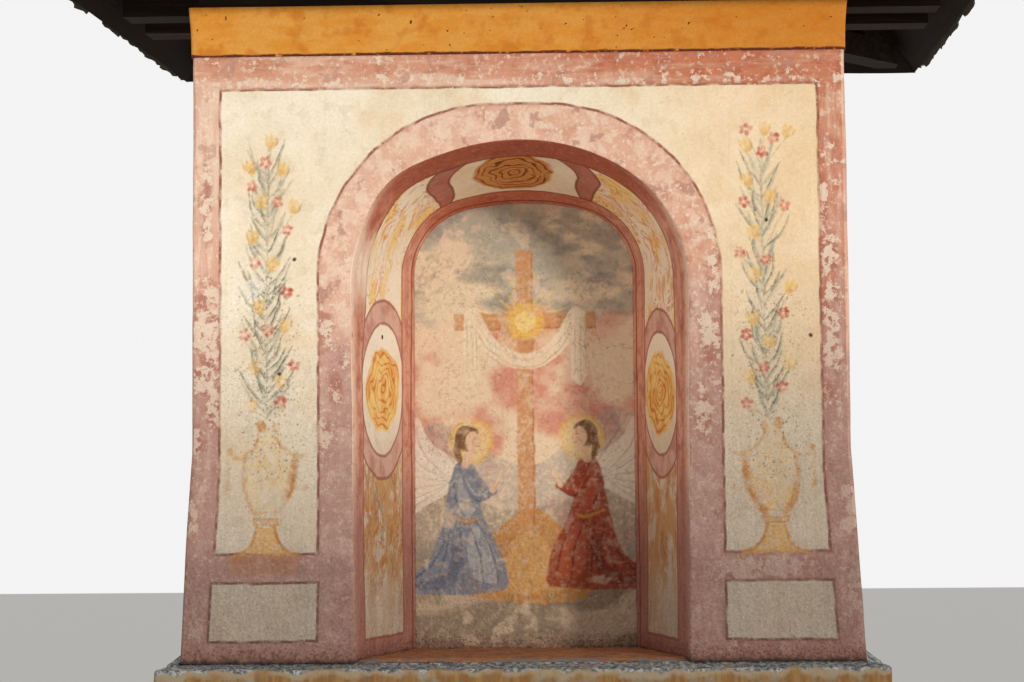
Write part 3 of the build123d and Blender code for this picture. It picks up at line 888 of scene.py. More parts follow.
def face_and_reveal(skin):
    """One patch from behind the niche out along the reveal, round its edge and over the face."""
    mouth = mouth_points()
    inner = arch_points(BACK_ARCH, BACK_HALF_WIDTH, HEAD_COUNTS)
    outer = outer_points(HEAD_COUNTS)
    away = unit(outer - mouth)
    face_y = FRONT - flare_at(mouth[:, 1])
    rows = [lift(inner, PICTURE_BACK)]
    depths = [NICHE_DEPTH]
    for depth in np.linspace(NICHE_DEPTH, EDGE_ROUNDING, REVEAL_ROWS, endpoint=False):
        rows.append(lift(mouth + (inner - mouth) * depth / NICHE_DEPTH, FRONT + depth))
        depths.append(depth)
    for angle in np.linspace(math.pi / 2, 0, ROUNDING_ROWS):
        aside = EDGE_ROUNDING * (1 - math.sin(angle))
        back = EDGE_ROUNDING * (1 - math.cos(angle))
        start = mouth + (inner - mouth) * back / NICHE_DEPTH
        rows.append(lift(start + away * aside, face_y + back))
        depths.append(-aside)
    reveal_rows = len(rows) - 3
    start = mouth + away * EDGE_ROUNDING
    for t in np.linspace(0, 1, FACE_ROWS + 1)[1:]:
        points = start + (outer - start) * t
        rows.append(lift(points, FRONT - flare_at(points[:, 1])))
        depths.append(-1.0)
    grid = np.stack(rows)
    material = np.where(np.arange(len(rows) - 1) < reveal_rows, 1, 0)
    run = running_length((mouth + inner) / 2)
    return skin.patch(grid, material, run=run, depth=np.array(depths)[:, None])


def outside_of_head(skin):
    """The left side, back and right side, from one front corner round to the other."""
    z = outer_points(HEAD_COUNTS)[: HEAD_COUNTS[0] + HEAD_COUNTS[1] + 1, 1]
    rows = []
    for height in z:
        flare = float(flare_at(height))
        path = plan_path(HALF_WIDTH + flare, HALF_DEPTH + flare, CORNER_ROUNDING, SIDE_COUNTS, closed=False)
        rows.append(np.column_stack([path, np.full(len(path), height)]))
    return skin.patch(np.stack(rows), 2, depth=-1.0)


def plaster_relief(points):
    """How far hand-laid plaster stands off its true plane."""
    return 0.0020 * rough(points, 0.26, 2, 3) + 0.0006 * rough(points, 0.07, 2, 11)


def head_relief(points):
    fade = smooth(points[:, 2], HEAD_TOP, HEAD_TOP - 0.03)
    return plaster_relief(points) * (0.35 + 0.65 * fade) - 0.0012


# Places where the frame's paint has mostly come away: X, Z and half sizes

WORN_PATCHES = [
    (-0.664, 2.010, 0.040, 0.085), (-0.668, 1.890, 0.036, 0.050), (-0.650, 1.815, 0.022, 0.045),
    (-0.690, 1.745, 0.020, 0.040), (-0.668, 2.255, 0.014, 0.090), (-0.700, 1.570, 0.018, 0.050),
    (-0.690, 1.350, 0.016, 0.060), (-0.415, 1.985, 0.020, 0.060), (-0.392, 1.860, 0.016, 0.040),
    (-0.420, 1.760, 0.018, 0.030), (0.405, 1.955, 0.024, 0.070), (0.388, 1.800, 0.020, 0.050),
    (0.415, 2.090, 0.018, 0.050), (0.425, 2.190, 0.020, 0.060), (0.658, 2.130, 0.020, 0.050),
    (0.662, 2.020, 0.020, 0.055), (0.664, 1.925, 0.024, 0.045), (0.650, 1.840, 0.016, 0.030),
    (0.690, 1.600, 0.020, 0.060), (0.695, 1.420, 0.018, 0.050), (0.645, 2.250, 0.014, 0.070),
    (0.520, 1.478, 0.130, 0.028), (0.480, 1.600, 0.014, 0.070),
]


def wear_at(x, z):
    total = np.zeros(len(x))
    for patch_x, patch_z, across, up in WORN_PATCHES:
        distance = np.hypot((x - patch_x) / across, (z - patch_z) / up)
        total = np.maximum(total, smooth(distance, 1.35, 0.6))
    return total


def set_face_fields(piece, deepest=math.inf):
    """How far each point lies outside the arch band, and how worn it is, if it isn't too deep."""
    x, y, z = points_of(piece).T
    set_field(piece.data, "band", arch_distance(x, z, BAND_ARCH))
    set_field(piece.data, "wear", wear_at(x, z) * (y < deepest))


def hold_rims(places, normals):
    """Keep the head's foot, its top and the edge behind the picture in their planes."""
    upright = (places[:, 2] < LEDGE_TOP + 1e-4) | (places[:, 2] > HEAD_TOP - 1e-4)
    normals[upright, 2] = 0
    inside = (places[:, 1] > PICTURE_PLANE - 1e-4) & (np.abs(places[:, 0]) < BACK_HALF_WIDTH + 1e-3)
    normals[inside & (places[:, 1] < PICTURE_BACK + 1e-3)] = 0


def make_head():
    skin = Skin()
    face = face_and_reveal(skin)
    wrap = outside_of_head(skin)
    corner = HEAD_COUNTS[0] + HEAD_COUNTS[1]
    skin.face(face[0], 1)
    skin.face([*face[:, 0], *wrap[0, 1:-1], *face[::-1, -1]], 2)
    skin.face([*face[-1, corner:-corner], *wrap[-1, -2:0:-1]], 2)
    middle = arch_points(MOUTH_ARCH, MOUTH_FOOT_HALF_WIDTH, HEAD_COUNTS) / 2
    middle = middle + arch_points(BACK_ARCH, BACK_HALF_WIDTH, HEAD_COUNTS) / 2
    jamb = slice(0, HEAD_COUNTS[0])
    run = running_length(middle)[jamb]

    def run_at(z):
        return float(np.interp(z, middle[jamb, 1], run))

    paint = face_material()
    piece = skin.build("head_plaster", [paint, reveal_material(run_at), wall_material()])
    set_face_fields(piece, FRONT + 0.001)
    displace(piece, head_relief, hold_rims)
    place(piece, "painted_plaster", "left_pier", "right_pier", "arch_head", "rear_wall")
    return paint


# Masonry rings: base, pedestal, ledge and frieze


def rounded_profile(points, radius, spacing):
    """Rows up a wall: each is how far it stands out and its level, with the bends between the ends eased."""
    points = [np.array(point) for point in points]
    rows = [points[0]]
    for number in range(1, len(points)):
        here = points[number]
        before = here - rows[-1]
        last = number == len(points) - 1
        after = 0 * before if last else points[number + 1] - here
        ease = min(radius, np.linalg.norm(before) / 2.2, np.linalg.norm(after) / 2.2)
        start = here - unit(before) * ease
        base = rows[-1]
        count = max(1, round(math.dist(start, base) / spacing))
        rows.extend(base + (start - base) * step / count for step in range(1, count + 1))
        if not last:
            end = here + unit(after) * ease
            for t in (0.25, 0.5, 0.75, 1.0):
                rows.append((1 - t) ** 2 * start + 2 * t * (1 - t) * here + t**2 * end)
    return rows


def make_ring(name, half_x, half_y, profile, corner, spacing, material, relief, rounding=0.008):
    """A solid of masonry whose sides follow a profile, with its top and bottom held flat."""
    skin = Skin()
    counts = (round(2 * half_y / spacing), round(2 * half_x / spacing))
    rows = []
    for out, level in rounded_profile(profile, rounding, spacing):
        path = plan_path(half_x + out, half_y + out, corner, counts)
        rows.append(np.column_stack([path, np.full(len(path), level)]))
    index = skin.patch(np.stack(rows))
    skin.face(index[0, :-1])
    skin.face(index[-1, :-1])
    piece = skin.build(name, [material])
    low, high = rows[0][0][2], rows[-1][0][2]

    def hold(places, normals):
        flat = (places[:, 2] < low + 1e-5) | (places[:, 2] > high - 1e-5)
        normals[flat, 2] = 0

    displace(piece, relief, hold)
    return piece


def base_material():
    s = Plaster("foot_roughcast", foot=0.0, rise=0.30, foot_tone=0.62)
    colour = s.mix(s.ramp(s.broad, 0.35, 0.65), srgb(150, 142, 130), srgb(172, 163, 148))
    colour = s.mix(s.ramp(s.fine, 0.45, 0.7), colour, srgb(122, 116, 106))
    moss = s.ramp(s.z, 0.16, 0.0) * s.ramp(s.middle, 0.45, 0.62)
    colour = s.mix(moss * 0.6, colour, srgb(92, 96, 66))
    tone = s.ramp(s.z, 0.0, 0.2, 0.7, 1.0)
    colour = s.toned(colour, tone + (s.grain - 0.5) * 0.4)
    stones = s.cells(0.011)
    return s.finish(colour, 0.95, s.bump((s.fine, 0.0024), (s.grain, 0.0014), (stones, 0.0030)))


def pedestal_material():
    """Below the ledge, the same pink frame round a cream panel, dirtier towards the ground."""
    s = Plaster("pedestal_paint", foot=BASE_TOP, rise=0.75, foot_tone=0.66, splash=0.85)
    on_side = s.sideways()
    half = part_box("pedestal")[1]
    frame_width = 0.105
    across_x = abs(s.x) - (half.x - frame_width)
    across_y = abs(s.y) - (half.y - frame_width)
    across = across_y * on_side + across_x * (1.0 - on_side)
    middle = (BASE_TOP + PEDESTAL_TOP) / 2
    up = abs(s.z - middle) - ((PEDESTAL_TOP - BASE_TOP) / 2 - frame_width)
    field = s.larger(across, up)
    colour = s.mix(s.inside(field), s.worn(s.pink(), 0.25), s.ground())
    colour = s.mix(s.line(field, 0.008) * 0.8, colour, OUTLINE)
    return s.done(colour)


def ledge_material():
    """Ochre limewash in front, worn to grey, bluish lichen along the upper edge."""
    s = Plaster("ledge_paint", foot=PEDESTAL_TOP - 0.05, rise=0.1)
    colour = s.mix(s.ramp(s.streaks, 0.35, 0.65), srgb(144, 111, 68), srgb(124, 86, 48))
    colour = s.mix(s.ramp(s.middle, 0.48, 0.62, 0.0, 0.8), colour, srgb(124, 112, 92))
    colour = s.mix(s.ramp(s.fine, 0.56, 0.68, 0.0, 0.6), colour, srgb(104, 96, 84))
    from_top = s.z - (LEDGE_TOP - 0.012)
    edge = s.ramp(from_top + (s.middle - 0.5) * 0.05, -0.006, 0.002)
    pale = s.ramp(from_top + (s.middle - 0.5) * 0.07, -0.022, -0.006)
    colour = s.mix(pale * 0.7, colour, srgb(154, 140, 116))
    lichen = s.mix(s.ramp(s.fine, 0.38, 0.62), srgb(84, 90, 96), srgb(168, 168, 162))
    lichen = s.mix(s.ramp(s.grain, 0.52, 0.66, 0.0, 0.8), lichen, srgb(44, 46, 50))
    colour = s.mix(edge, colour, lichen)
    # Darker on the ledge's underside, towards where it meets the pedestal.
    colour = s.mix(s.ramp(s.z, PEDESTAL_TOP + 0.035, PEDESTAL_TOP, 0.0, 0.5), colour, DARK_BROWN)
    return s.finish(colour, 0.93, s.bump((s.noise(0.07, 4.0), 0.005), (s.fine, 0.0022), (s.grain, 0.0012)))


def frieze_material():
    s = Plaster("frieze_ochre", foot=HEAD_TOP - 0.4, rise=0.2, foot_tone=0.9, dirt=0.0)
    side_streaks = s.noise(0.03, 4.0, 0.6, s.stretched(0.3, 0.3, 1.0))
    colour = s.mix(s.ramp(side_streaks, 0.38, 0.62), OCHRE, OCHRE_PALE)
    colour = s.mix(s.ramp(s.middle, 0.5, 0.68, 0.0, 0.6), colour, OCHRE_DEEP)
    colour = s.mix(s.ramp(s.x, -0.2, 0.7, 0.0, 0.55), colour, OCHRE_DEEP)
    # Small pits in the ochre, painted dark for the shade in them.
    holes = s.ramp(s.noise(0.010, 1.0, 0.5), 0.745, 0.77)
    colour = s.mix(holes, colour, srgb(90, 54, 34))
    foot = s.z - HEAD_TOP
    rim = s.ramp(foot + (s.middle - 0.5) * 0.01, 0.0065, 0.003)
    colour = s.mix(rim * s.ramp(s.fine, 0.3, 0.45), colour, srgb(112, 50, 34))
    return s.done(colour)


def mortar_material():
    s = Plaster("mortar", foot=LEDGE_TOP - 0.4, rise=0.2, foot_tone=0.9)
    colour = s.mix(s.ramp(s.middle, 0.35, 0.65), srgb(166, 112, 76), srgb(138, 94, 66))
    colour = s.mix(s.ramp(s.fine, 0.5, 0.66, 0.0, 0.8), colour, srgb(176, 136, 104))
    colour = s.mix(s.ramp(s.grain, 0.60, 0.70), colour, srgb(70, 52, 44))
    edge = s.ramp(s.y, FRONT + 0.05, FRONT + 0.005)
    colour = s.mix(edge * s.ramp(s.middle, 0.4, 0.6), colour, srgb(128, 126, 122))
    return s.finish(colour, 0.95, s.bump((s.middle, 0.003), (s.fine, 0.0016), (s.grain, 0.0008)))


def make_masonry_rings():
    base, pedestal, ledge = (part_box(name)[1] for name in ("base_plinth", "pedestal", "ledge_slab"))
    weathering = [(0.0, 0.0), (0.0, BASE_TOP - 0.024), (-0.016, BASE_TOP)]
    ring = make_ring(
        "base_roughcast", base.x, base.y, weathering, 0.016, 0.014, base_material(),
        lambda p: 0.0035 * rough(p, 0.16, 3, 5) + 0.0016 * rough(p, 0.03, 2, 9) - 0.0045,
    )
    place(ring, "foot_roughcast", "base_plinth")
    upright = [(0.0, BASE_TOP), (0.0, PEDESTAL_TOP)]
    ring = make_ring(
        "pedestal_plaster", pedestal.x, pedestal.y, upright, 0.010, 0.018, pedestal_material(),
        lambda p: plaster_relief(p) - 0.0015,
    )
    place(ring, "painted_plaster", "pedestal")
    undercut, fall = 0.026, 0.008
    stand_out = ledge.x - pedestal.x
    under_head = HALF_WIDTH - 0.03 - pedestal.x
    nose = [
        (0.0, PEDESTAL_TOP), (stand_out, PEDESTAL_TOP + undercut), (stand_out, LEDGE_TOP - fall),
        (HALF_WIDTH + FLARE - pedestal.x, LEDGE_TOP), (under_head, LEDGE_TOP),
    ]
    ring = make_ring(
        "ledge_plaster", pedestal.x, pedestal.y, nose, 0.012, 0.009, ledge_material(),
        ledge_relief, rounding=0.009,
    )
    place(ring, "ledge_stone", "ledge_slab")
    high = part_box("ochre_frieze")[1]
    cove = [(high.x - 0.005 - HALF_WIDTH, HEAD_TOP), (high.x - HALF_WIDTH, WALL_TOP)]
    cove.insert(1, (cove[0][0] + 0.0008, HEAD_TOP + 0.055))
    ring = make_ring(
        "frieze_plaster", HALF_WIDTH, HALF_DEPTH, cove, 0.008, 0.013, frieze_material(),
        lambda p: 0.7 * plaster_relief(p) - 0.0012, rounding=0.02,
    )
    place(ring, "frieze_plaster", "ochre_frieze")


def ledge_relief(points):
    """An edge worn uneven, with chips knocked out of the nose."""
    chips = smooth(rough(points, 0.05, 2, 31), 0.55, 0.95)
    nose = smooth(points[:, 2], LEDGE_TOP - 0.035, LEDGE_TOP - 0.008)
    under_head = np.abs(points[:, 2] - LEDGE_TOP) < 1e-5
    wear = 0.0024 * rough(points, 0.12, 3, 7) + 0.0009 * rough(points, 0.02, 2, 8)
    return np.where(under_head, 0.0, wear - 0.003 - 0.006 * chips * nose)


def grid_sheet(name, x, y, z, material):
    """A sheet from grids of coordinates."""
    skin = Skin()
    skin.patch(np.stack([x, y, z], 2))
    return skin.build(name, [material])


def make_floor_bed():
    """Rough mortar on the ledge inside the niche, a little under the plaster at its sides."""
    rows = np.linspace(FRONT - 0.006, PICTURE_PLANE + 0.004, 64)
    across = np.linspace(-1, 1, 110)
    t = (rows - FRONT) / NICHE_DEPTH
    half = MOUTH_FOOT_HALF_WIDTH + (BACK_HALF_WIDTH - MOUTH_FOOT_HALF_WIDTH) * t + 0.003
    x = half[:, None] * across
    y = np.broadcast_to(rows[:, None], x.shape).copy()
    flat = rows_of(x, y)
    y[0] += 0.008 + 0.006 * rough(flat[: x.shape[1]], 0.06, 3, 41)
    z = (0.0016 * rough(flat, 0.08, 3, 42) + 0.0010 * rough(flat, 0.015, 2, 43)).reshape(x.shape)
    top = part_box("niche_floor_bed")[1].z - 0.002
    edge = smooth(y, FRONT - 0.004, FRONT + 0.035)
    z = LEDGE_TOP + (top - LEDGE_TOP + z) * (0.12 + 0.88 * edge)
    bed = grid_sheet("floor_mortar", x, y, z, mortar_material())
    close_back(bed, -0.006, axis=2)
    place(bed, "mortar_bed", "niche_floor_bed")


def make_foot_fillets():
    """Mortar wedges that throw rain off the ledge at the foot of the side and back walls."""
    rise, run = 0.024, 0.034
    material = ledge_material()
    sides = [
        ("left_fillet", (-HALF_WIDTH - FLARE, HALF_DEPTH), (-HALF_WIDTH - FLARE, -HALF_DEPTH), (-1, 0)),
        ("right_fillet", (HALF_WIDTH + FLARE, -HALF_DEPTH), (HALF_WIDTH + FLARE, HALF_DEPTH), (1, 0)),
        ("back_fillet", (HALF_WIDTH, HALF_DEPTH + FLARE), (-HALF_WIDTH, HALF_DEPTH + FLARE), (0, 1)),
    ]
    for name, start, end, out in sides:
        length = math.dist(start, end)
        along = np.linspace(0, 1, round(length / 0.012))[:, None]
        section = np.linspace(0, 1, 9)[None, :]
        ends = smooth(along * length, 0, 0.03) * smooth((1 - along) * length, 0, 0.03)
        out_by = -0.004 + (run + 0.004) * section * (0.45 + 0.55 * ends)
        up_by = rise * (1 - section) ** 1.15 * (0.3 + 0.7 * ends) - 0.0045 * section
        x = start[0] + (end[0] - start[0]) * along + out[0] * out_by
        y = start[1] + (end[1] - start[1]) * along + out[1] * out_by
        uneven = 0.0014 * rough(rows_of(x, y), 0.04, 3, 51).reshape(x.shape)
        z = LEDGE_TOP + up_by + uneven * (1 - section)
        fillet = grid_sheet(name, x, y, z, material)
        close_back(fillet, -0.005, axis=2)
        place(fillet, "ledge_stone")


# Brushwork


def spline(points, count=10):
    """A smooth line through a few points."""
    points = [np.array(point, float) for point in points]
    points = [2 * points[0] - points[1], *points, 2 * points[-1] - points[-2]]
    line = []
    for a, b, c, d in zip(points, points[1:], points[2:], points[3:]):
        for t in np.linspace(0, 1, count, endpoint=False):
            bend = (2 * a - 5 * b + 4 * c - d) * t**2 + (3 * b - 3 * c + d - a) * t**3
            line.append(0.5 * (2 * b + (c - a) * t + bend))
    return np.array([*line, points[-2]])


class Painting:
    """Paint laid stroke by stroke over points of a wall in X and Z, with what is under it kept in mind."""

    def __init__(self, piece, seed):
        self.mesh = piece.data
        self.x, _, self.z = points_of(piece).T
        self.colour = np.zeros((len(self.x), 3))
        self.cover = np.zeros(len(self.x))
        self.flat = rows_of(self.x, 0.0, self.z)
        self.brush = 0.5 + 0.5 * rough(self.flat, 0.007, 2, seed)
        self.brush_x = self.x + 0.0016 * rough(self.flat, 0.02, 2, seed + 1)
        self.brush_z = self.z + 0.0016 * rough(self.flat, 0.02, 2, seed + 2)

    def near(self, points, reach):
        low, high = np.min(points, axis=0) - reach, np.max(points, axis=0) + reach
        inside = (self.x > low[0]) & (self.x < high[0]) & (self.z > low[1]) & (self.z < high[1])
        return np.nonzero(inside)[0]

    def lay(self, mask, colour, where=slice(None)):
        mask = np.clip(mask, 0, 1)
        self.cover[where] = self.cover[where] * (1 - mask) + mask
        mask = mask[:, None]
        self.colour[where] = self.colour[where] * (1 - mask) + mask * np.array(colour[:3])

    def brush_on(self, where, mask, colour, strength, dry):
        """Lay paint that is missing where the brush ran dry."""
        self.lay(mask * strength * (1 - dry * smooth(self.brush[where], 0.5, 0.85)), colour, where)

    def patches(self, size, octaves, seed, low, high):
        """Ragged patches of about that size, 1 inside them."""
        return smooth(rough(self.flat, size, octaves, seed), low, high)

    def stroke(self, points, width, colour, strength=0.9, taper="both", dry=0.5, blur=0.0012):
        """A brush stroke: taper says at which end it thins, both, end, start or none."""
        line = spline(points) if len(points) > 2 else np.array(points, float)
        where = self.near(line, width + 0.004)
        distance, t = self.segment_distances(where, line)
        nearest = distance.argmin(1)
        rows = np.arange(len(where))
        part = (nearest + t[rows, nearest]) / (len(line) - 1)
        fullness = {"both": np.sin(np.pi * part), "end": 1 - part, "start": part, "none": np.ones(len(part))}
        half = width / 2 * (0.15 + 0.85 * fullness[taper] ** 0.6)
        mask = smooth(distance[rows, nearest], half + blur, half - blur)
        self.brush_on(where, mask, colour, strength, dry)

    def segment_distances(self, where, line):
        """How far points lie from each segment of a line, and how far along it they are nearest."""
        px, pz = self.brush_x[where][:, None], self.brush_z[where][:, None]
        start, step = line[:-1], np.diff(line, axis=0)
        square = np.maximum((step**2).sum(1), 1e-12)
        t = np.clip(((px - start[:, 0]) * step[:, 0] + (pz - start[:, 1]) * step[:, 1]) / square, 0, 1)
        return np.hypot(px - start[:, 0] - t * step[:, 0], pz - start[:, 1] - t * step[:, 1]), t

    def blob(self, centre, radii, colour, strength=0.9, angle=0.0, dry=0.4, blur=0.0014):
        """A soft oval dab."""
        where = self.near(np.array([centre]), max(radii) + 0.006)
        dx, dz = self.brush_x[where] - centre[0], self.brush_z[where] - centre[1]
        cos, sin = math.cos(angle), math.sin(angle)
        radius = np.hypot((dx * cos + dz * sin) / radii[0], (dz * cos - dx * sin) / radii[1])
        mask = smooth((radius - 1) * min(radii), blur, -blur)
        self.brush_on(where, mask, colour, strength, dry)

    def wash(self, points, colour, strength=0.9, dry=0.4, blur=0.002, curved=True):
        """A filled shape inside an outline of a few points."""
        loop = [*points, points[0]]
        line = spline(loop, 6) if curved else np.array(loop, float)
        where = self.near(line, 0.01)
        px, pz = self.brush_x[where][:, None], self.brush_z[where][:, None]
        start, step = line[:-1], np.diff(line, axis=0)
        crosses = (start[:, 1] > pz) != (line[1:, 1] > pz)
        rise = np.where(np.abs(step[:, 1]) < 1e-12, 1e-12, step[:, 1])
        left = px < start[:, 0] + (pz - start[:, 1]) * step[:, 0] / rise
        inside = (crosses & left).sum(1) % 2 == 1
        distance = self.segment_distances(where, line)[0].min(1)
        mask = smooth(np.where(inside, -distance, distance), blur, -blur)
        self.brush_on(where, mask, colour, strength, dry)

    def rub(self, mask):
        """Wear the paint away where the mask nears 1."""
        left = 1 - np.clip(mask, 0, 1)
        self.cover *= left
        self.colour *= left[:, None]

    def store(self):
        """Write the paint on the mesh, as colour already weighted by its cover."""
        attribute = self.mesh.attributes.new("paint", "FLOAT_COLOR", "POINT")
        values = np.column_stack([self.colour, np.ones(len(self.cover))]).astype(np.float32)
        attribute.data.foreach_set("color", values.reshape(-1))
        set_field(self.mesh, "cover", self.cover)


# The bouquets in their vases. Flowers stand where the old painter set them, in X and Z.

LEAF = srgb(170, 164, 140)
LEAF_SOFT = srgb(208, 200, 174)
LEAF_DARK = srgb(100, 100, 88)
STEM = srgb(164, 156, 132)
TULIP = srgb(242, 198, 116)
TULIP_DEEP = srgb(216, 148, 68)
BLOSSOM = srgb(198, 80, 60)
BLOSSOM_PALE = srgb(226, 136, 112)
BLOSSOM_WASH = srgb(240, 190, 168)
PIT_DIRT_AND_SHADE = srgb(100, 92, 76)
VASE_WASH = srgb(236, 204, 152)
VASE_LINE = srgb(208, 146, 84)
VASE_DEEP = srgb(186, 106, 58)

LEFT_TULIPS = [
    (-0.530, 2.390), (-0.575, 2.335), (-0.505, 2.330), (-0.550, 2.260), (-0.480, 2.250), (-0.570, 2.185),
    (-0.525, 2.125), (-0.555, 2.035), (-0.500, 1.995), (-0.565, 1.905), (-0.510, 1.875), (-0.570, 1.825),
]
LEFT_BLOSSOMS = [
    (-0.540, 2.345), (-0.570, 2.295), (-0.515, 2.260), (-0.495, 2.200), (-0.565, 2.130), (-0.495, 2.065),
    (-0.535, 1.985), (-0.585, 1.975), (-0.480, 1.910), (-0.510, 1.830),
]
RIGHT_TULIPS = [
    (0.525, 2.405), (0.575, 2.400), (0.485, 2.370), (0.485, 2.295), (0.535, 2.260), (0.500, 2.185),
    (0.500, 2.095), (0.575, 2.065), (0.495, 2.000), (0.530, 1.950), (0.485, 1.875), (0.570, 1.905),
]
RIGHT_BLOSSOMS = [
    (0.485, 2.405), (0.545, 2.385), (0.520, 2.355), (0.480, 2.250), (0.565, 2.240), (0.470, 2.140),
    (0.525, 2.125), (0.560, 2.010), (0.480, 1.965), (0.515, 1.895), (0.555, 1.855), (0.480, 1.820),
]


def paint_leaf(p, foot, tip, bend, width, low, random):
    """A slender leaf, soft inside, one edge drawn dark; low is 1 where the bouquet is thick and dirty."""
    foot, tip = np.array(foot), np.array(tip)
    across = np.array([-(tip - foot)[1], (tip - foot)[0]])
    middle = (foot + tip) / 2 + across * bend
    strength = 0.40 + 0.30 * random.random() + 0.10 * low
    p.stroke([foot, middle, tip], width, LEAF, strength, dry=0.4, blur=0.0016)
    shift = unit(across) * width * 0.35
    if random.random() < 0.60 + 0.25 * low:
        strength = 0.6 + 0.4 * random.random()
        p.stroke([foot + shift, middle + shift, tip], 0.0026, LEAF_DARK, strength, dry=0.6)


TULIP_CUP = [
    (-0.0125, 0.0170), (-0.0135, 0.0020), (-0.0085, -0.0130), (0.0000, -0.0175), (0.0085, -0.0130),
    (0.0135, 0.0020), (0.0125, 0.0170), (0.0065, 0.0085), (0.0000, 0.0190), (-0.0065, 0.0085),
]


def paint_tulip(p, place_at, lean, random):
    """A yellow cup with three points, deeper at its foot and edges."""
    x, z = place_at
    fresh = (0.60 + 0.35 * random.random()) * (0.65 + 0.35 * float(smooth(z, 1.85, 2.25)))

    def at(across, up):
        cos, sin = math.cos(lean), math.sin(lean)
        return (x + across * cos + up * sin, z + up * cos - across * sin)

    p.wash([at(*point) for point in TULIP_CUP], TULIP, fresh, dry=0.25, blur=0.0014, curved=False)
    p.blob(at(0.0, -0.008), (0.0080, 0.0080), TULIP_DEEP, fresh * 0.55, -lean, dry=0.5, blur=0.004)
    for side in (-1, 1):
        rim = [at(side * 0.0105, 0.013), at(side * 0.0115, 0.001), at(side * 0.0060, -0.012)]
        p.stroke(rim, 0.0030, TULIP_DEEP, fresh * (0.55 + 0.20 * side), dry=0.6)
    p.stroke([at(0.0, 0.015), at(0.0, 0.002)], 0.0028, TULIP_DEEP, fresh * 0.45, dry=0.6)
    shade = [at(0.0135, 0.010), at(0.0140, 0.000), at(0.0090, -0.0135)]
    p.stroke(shade, 0.0028, LEAF_DARK, 0.65 * random.random(), dry=0.5)


def paint_blossom(p, place_at, random):
    """A red flower of five or six dabs round its middle."""
    x, z = place_at
    turn = random.random() * 2
    fresh = random.random()
    p.blob((x, z), (0.0110, 0.0105), BLOSSOM_WASH, 0.5, dry=0.5, blur=0.004)
    for petal in range(5 + int(random.random() < 0.5)):
        angle = turn + petal * 2 * math.pi / 5.4
        colour = BLOSSOM if random.random() < 0.35 + 0.6 * fresh else BLOSSOM_PALE
        reach = 0.0078 + 0.002 * random.random()
        centre = (x + reach * math.cos(angle), z + reach * math.sin(angle))
        p.blob(centre, (0.0054, 0.0048), colour, 0.55 + 0.4 * random.random(), angle, dry=0.4)
        if random.random() < 0.5:
            p.blob(centre, (0.0026, 0.0022), srgb(160, 62, 50), 0.5, angle, dry=0.4)


def paint_bouquet(p, middle, foot, top, tulips, blossoms, seed):
    random = np.random.default_rng(seed)
    t = np.linspace(0, 1, 7)
    sway = np.stack([middle + 0.006 * np.sin(2.2 * t + seed), foot + (top - foot) * t], 1)

    def stem_x(z):
        return float(np.interp(z, sway[:, 1], sway[:, 0]))

    for level in np.arange(foot + 0.03, top - 0.05, 0.030):
        lean = 0.25 + 0.5 * random.random()
        for side in (-1, 1):
            tip = (stem_x(level) + side * 0.050 * math.sin(lean), level + 0.060 * math.cos(lean))
            p.stroke([(stem_x(level), level), tip], 0.016, LEAF_SOFT, 0.30, dry=0.3, blur=0.004)
    p.stroke(sway, 0.0055, STEM, 0.5, "start", dry=0.5)
    for x, z in tulips + blossoms:
        joint = max(foot, z - 0.075 - 0.03 * random.random())
        base = (stem_x(joint), joint)
        middle_point = ((x + base[0]) / 2, (z + joint) / 2 - 0.004)
        p.stroke([base, middle_point, (x, z - 0.012)], 0.0030, STEM, 0.5, "none", 0.6)
    level = foot + 0.005
    side = 1
    while level < top - 0.06:
        low = float(smooth(level, foot + 0.42, foot + 0.25))
        for number in range(2 + int(random.random() < 0.5)):
            reach = 0.052 + 0.036 * random.random()
            spread = 0.18 + 0.50 * random.random()
            base = (stem_x(level), level + 0.006 * number)
            tip = (base[0] + side * reach * math.sin(spread) * 1.2, base[1] + reach * math.cos(spread) * 1.1)
            bend = -side * (0.02 + 0.10 * random.random())
            paint_leaf(p, base, tip, bend, 0.0058 + 0.002 * random.random(), low, random)
            side = -side
        level += 0.018 + 0.012 * random.random()
    for place_at in tulips:
        lean = (place_at[0] - stem_x(place_at[1])) * 9 + 0.3 * (random.random() - 0.5)
        paint_tulip(p, place_at, lean, random)
    for place_at in blossoms:
        paint_blossom(p, place_at, random)


def paint_specks(p, middle, low, high, count, seed):
    """Dark grains of dirt caught in the rough plaster along the stem, which also stand for painted shade in
    its pits.
    """
    random = np.random.default_rng(seed)
    for x, z in zip(middle + random.normal(0, 0.038, count), random.uniform(low, high, count)):
        size = 0.0009 + 0.0013 * random.random() ** 2
        strength = 0.30 + 0.45 * random.random()
        p.blob((x, z), (size, size * 1.2), PIT_DIRT_AND_SHADE, strength, dry=0.2, blur=0.001)


# A vase for the left panel, from the middle of its foot: outlines, and handles with their scrolls

VASE_FOOT = [
    (-0.066, 0.000), (-0.046, 0.009), (-0.031, 0.022), (-0.023, 0.042), (-0.019, 0.060), (0.019, 0.060),
    (0.022, 0.042), (0.031, 0.022), (0.048, 0.009), (0.068, 0.000),
]
VASE_BOWL = [
    (-0.017, 0.268), (-0.019, 0.240), (-0.030, 0.224), (-0.044, 0.205), (-0.046, 0.170), (-0.043, 0.128),
    (-0.030, 0.096), (-0.021, 0.086), (0.021, 0.086), (0.037, 0.106), (0.053, 0.135), (0.061, 0.172),
    (0.063, 0.208), (0.044, 0.221), (0.028, 0.236), (0.021, 0.268),
]
LEFT_HANDLE = [
    (-0.019, 0.240), (-0.026, 0.224), (-0.040, 0.213), (-0.055, 0.205), (-0.070, 0.209), (-0.077, 0.222),
    (-0.081, 0.205), (-0.080, 0.170), (-0.080, 0.144), (-0.077, 0.138),
]
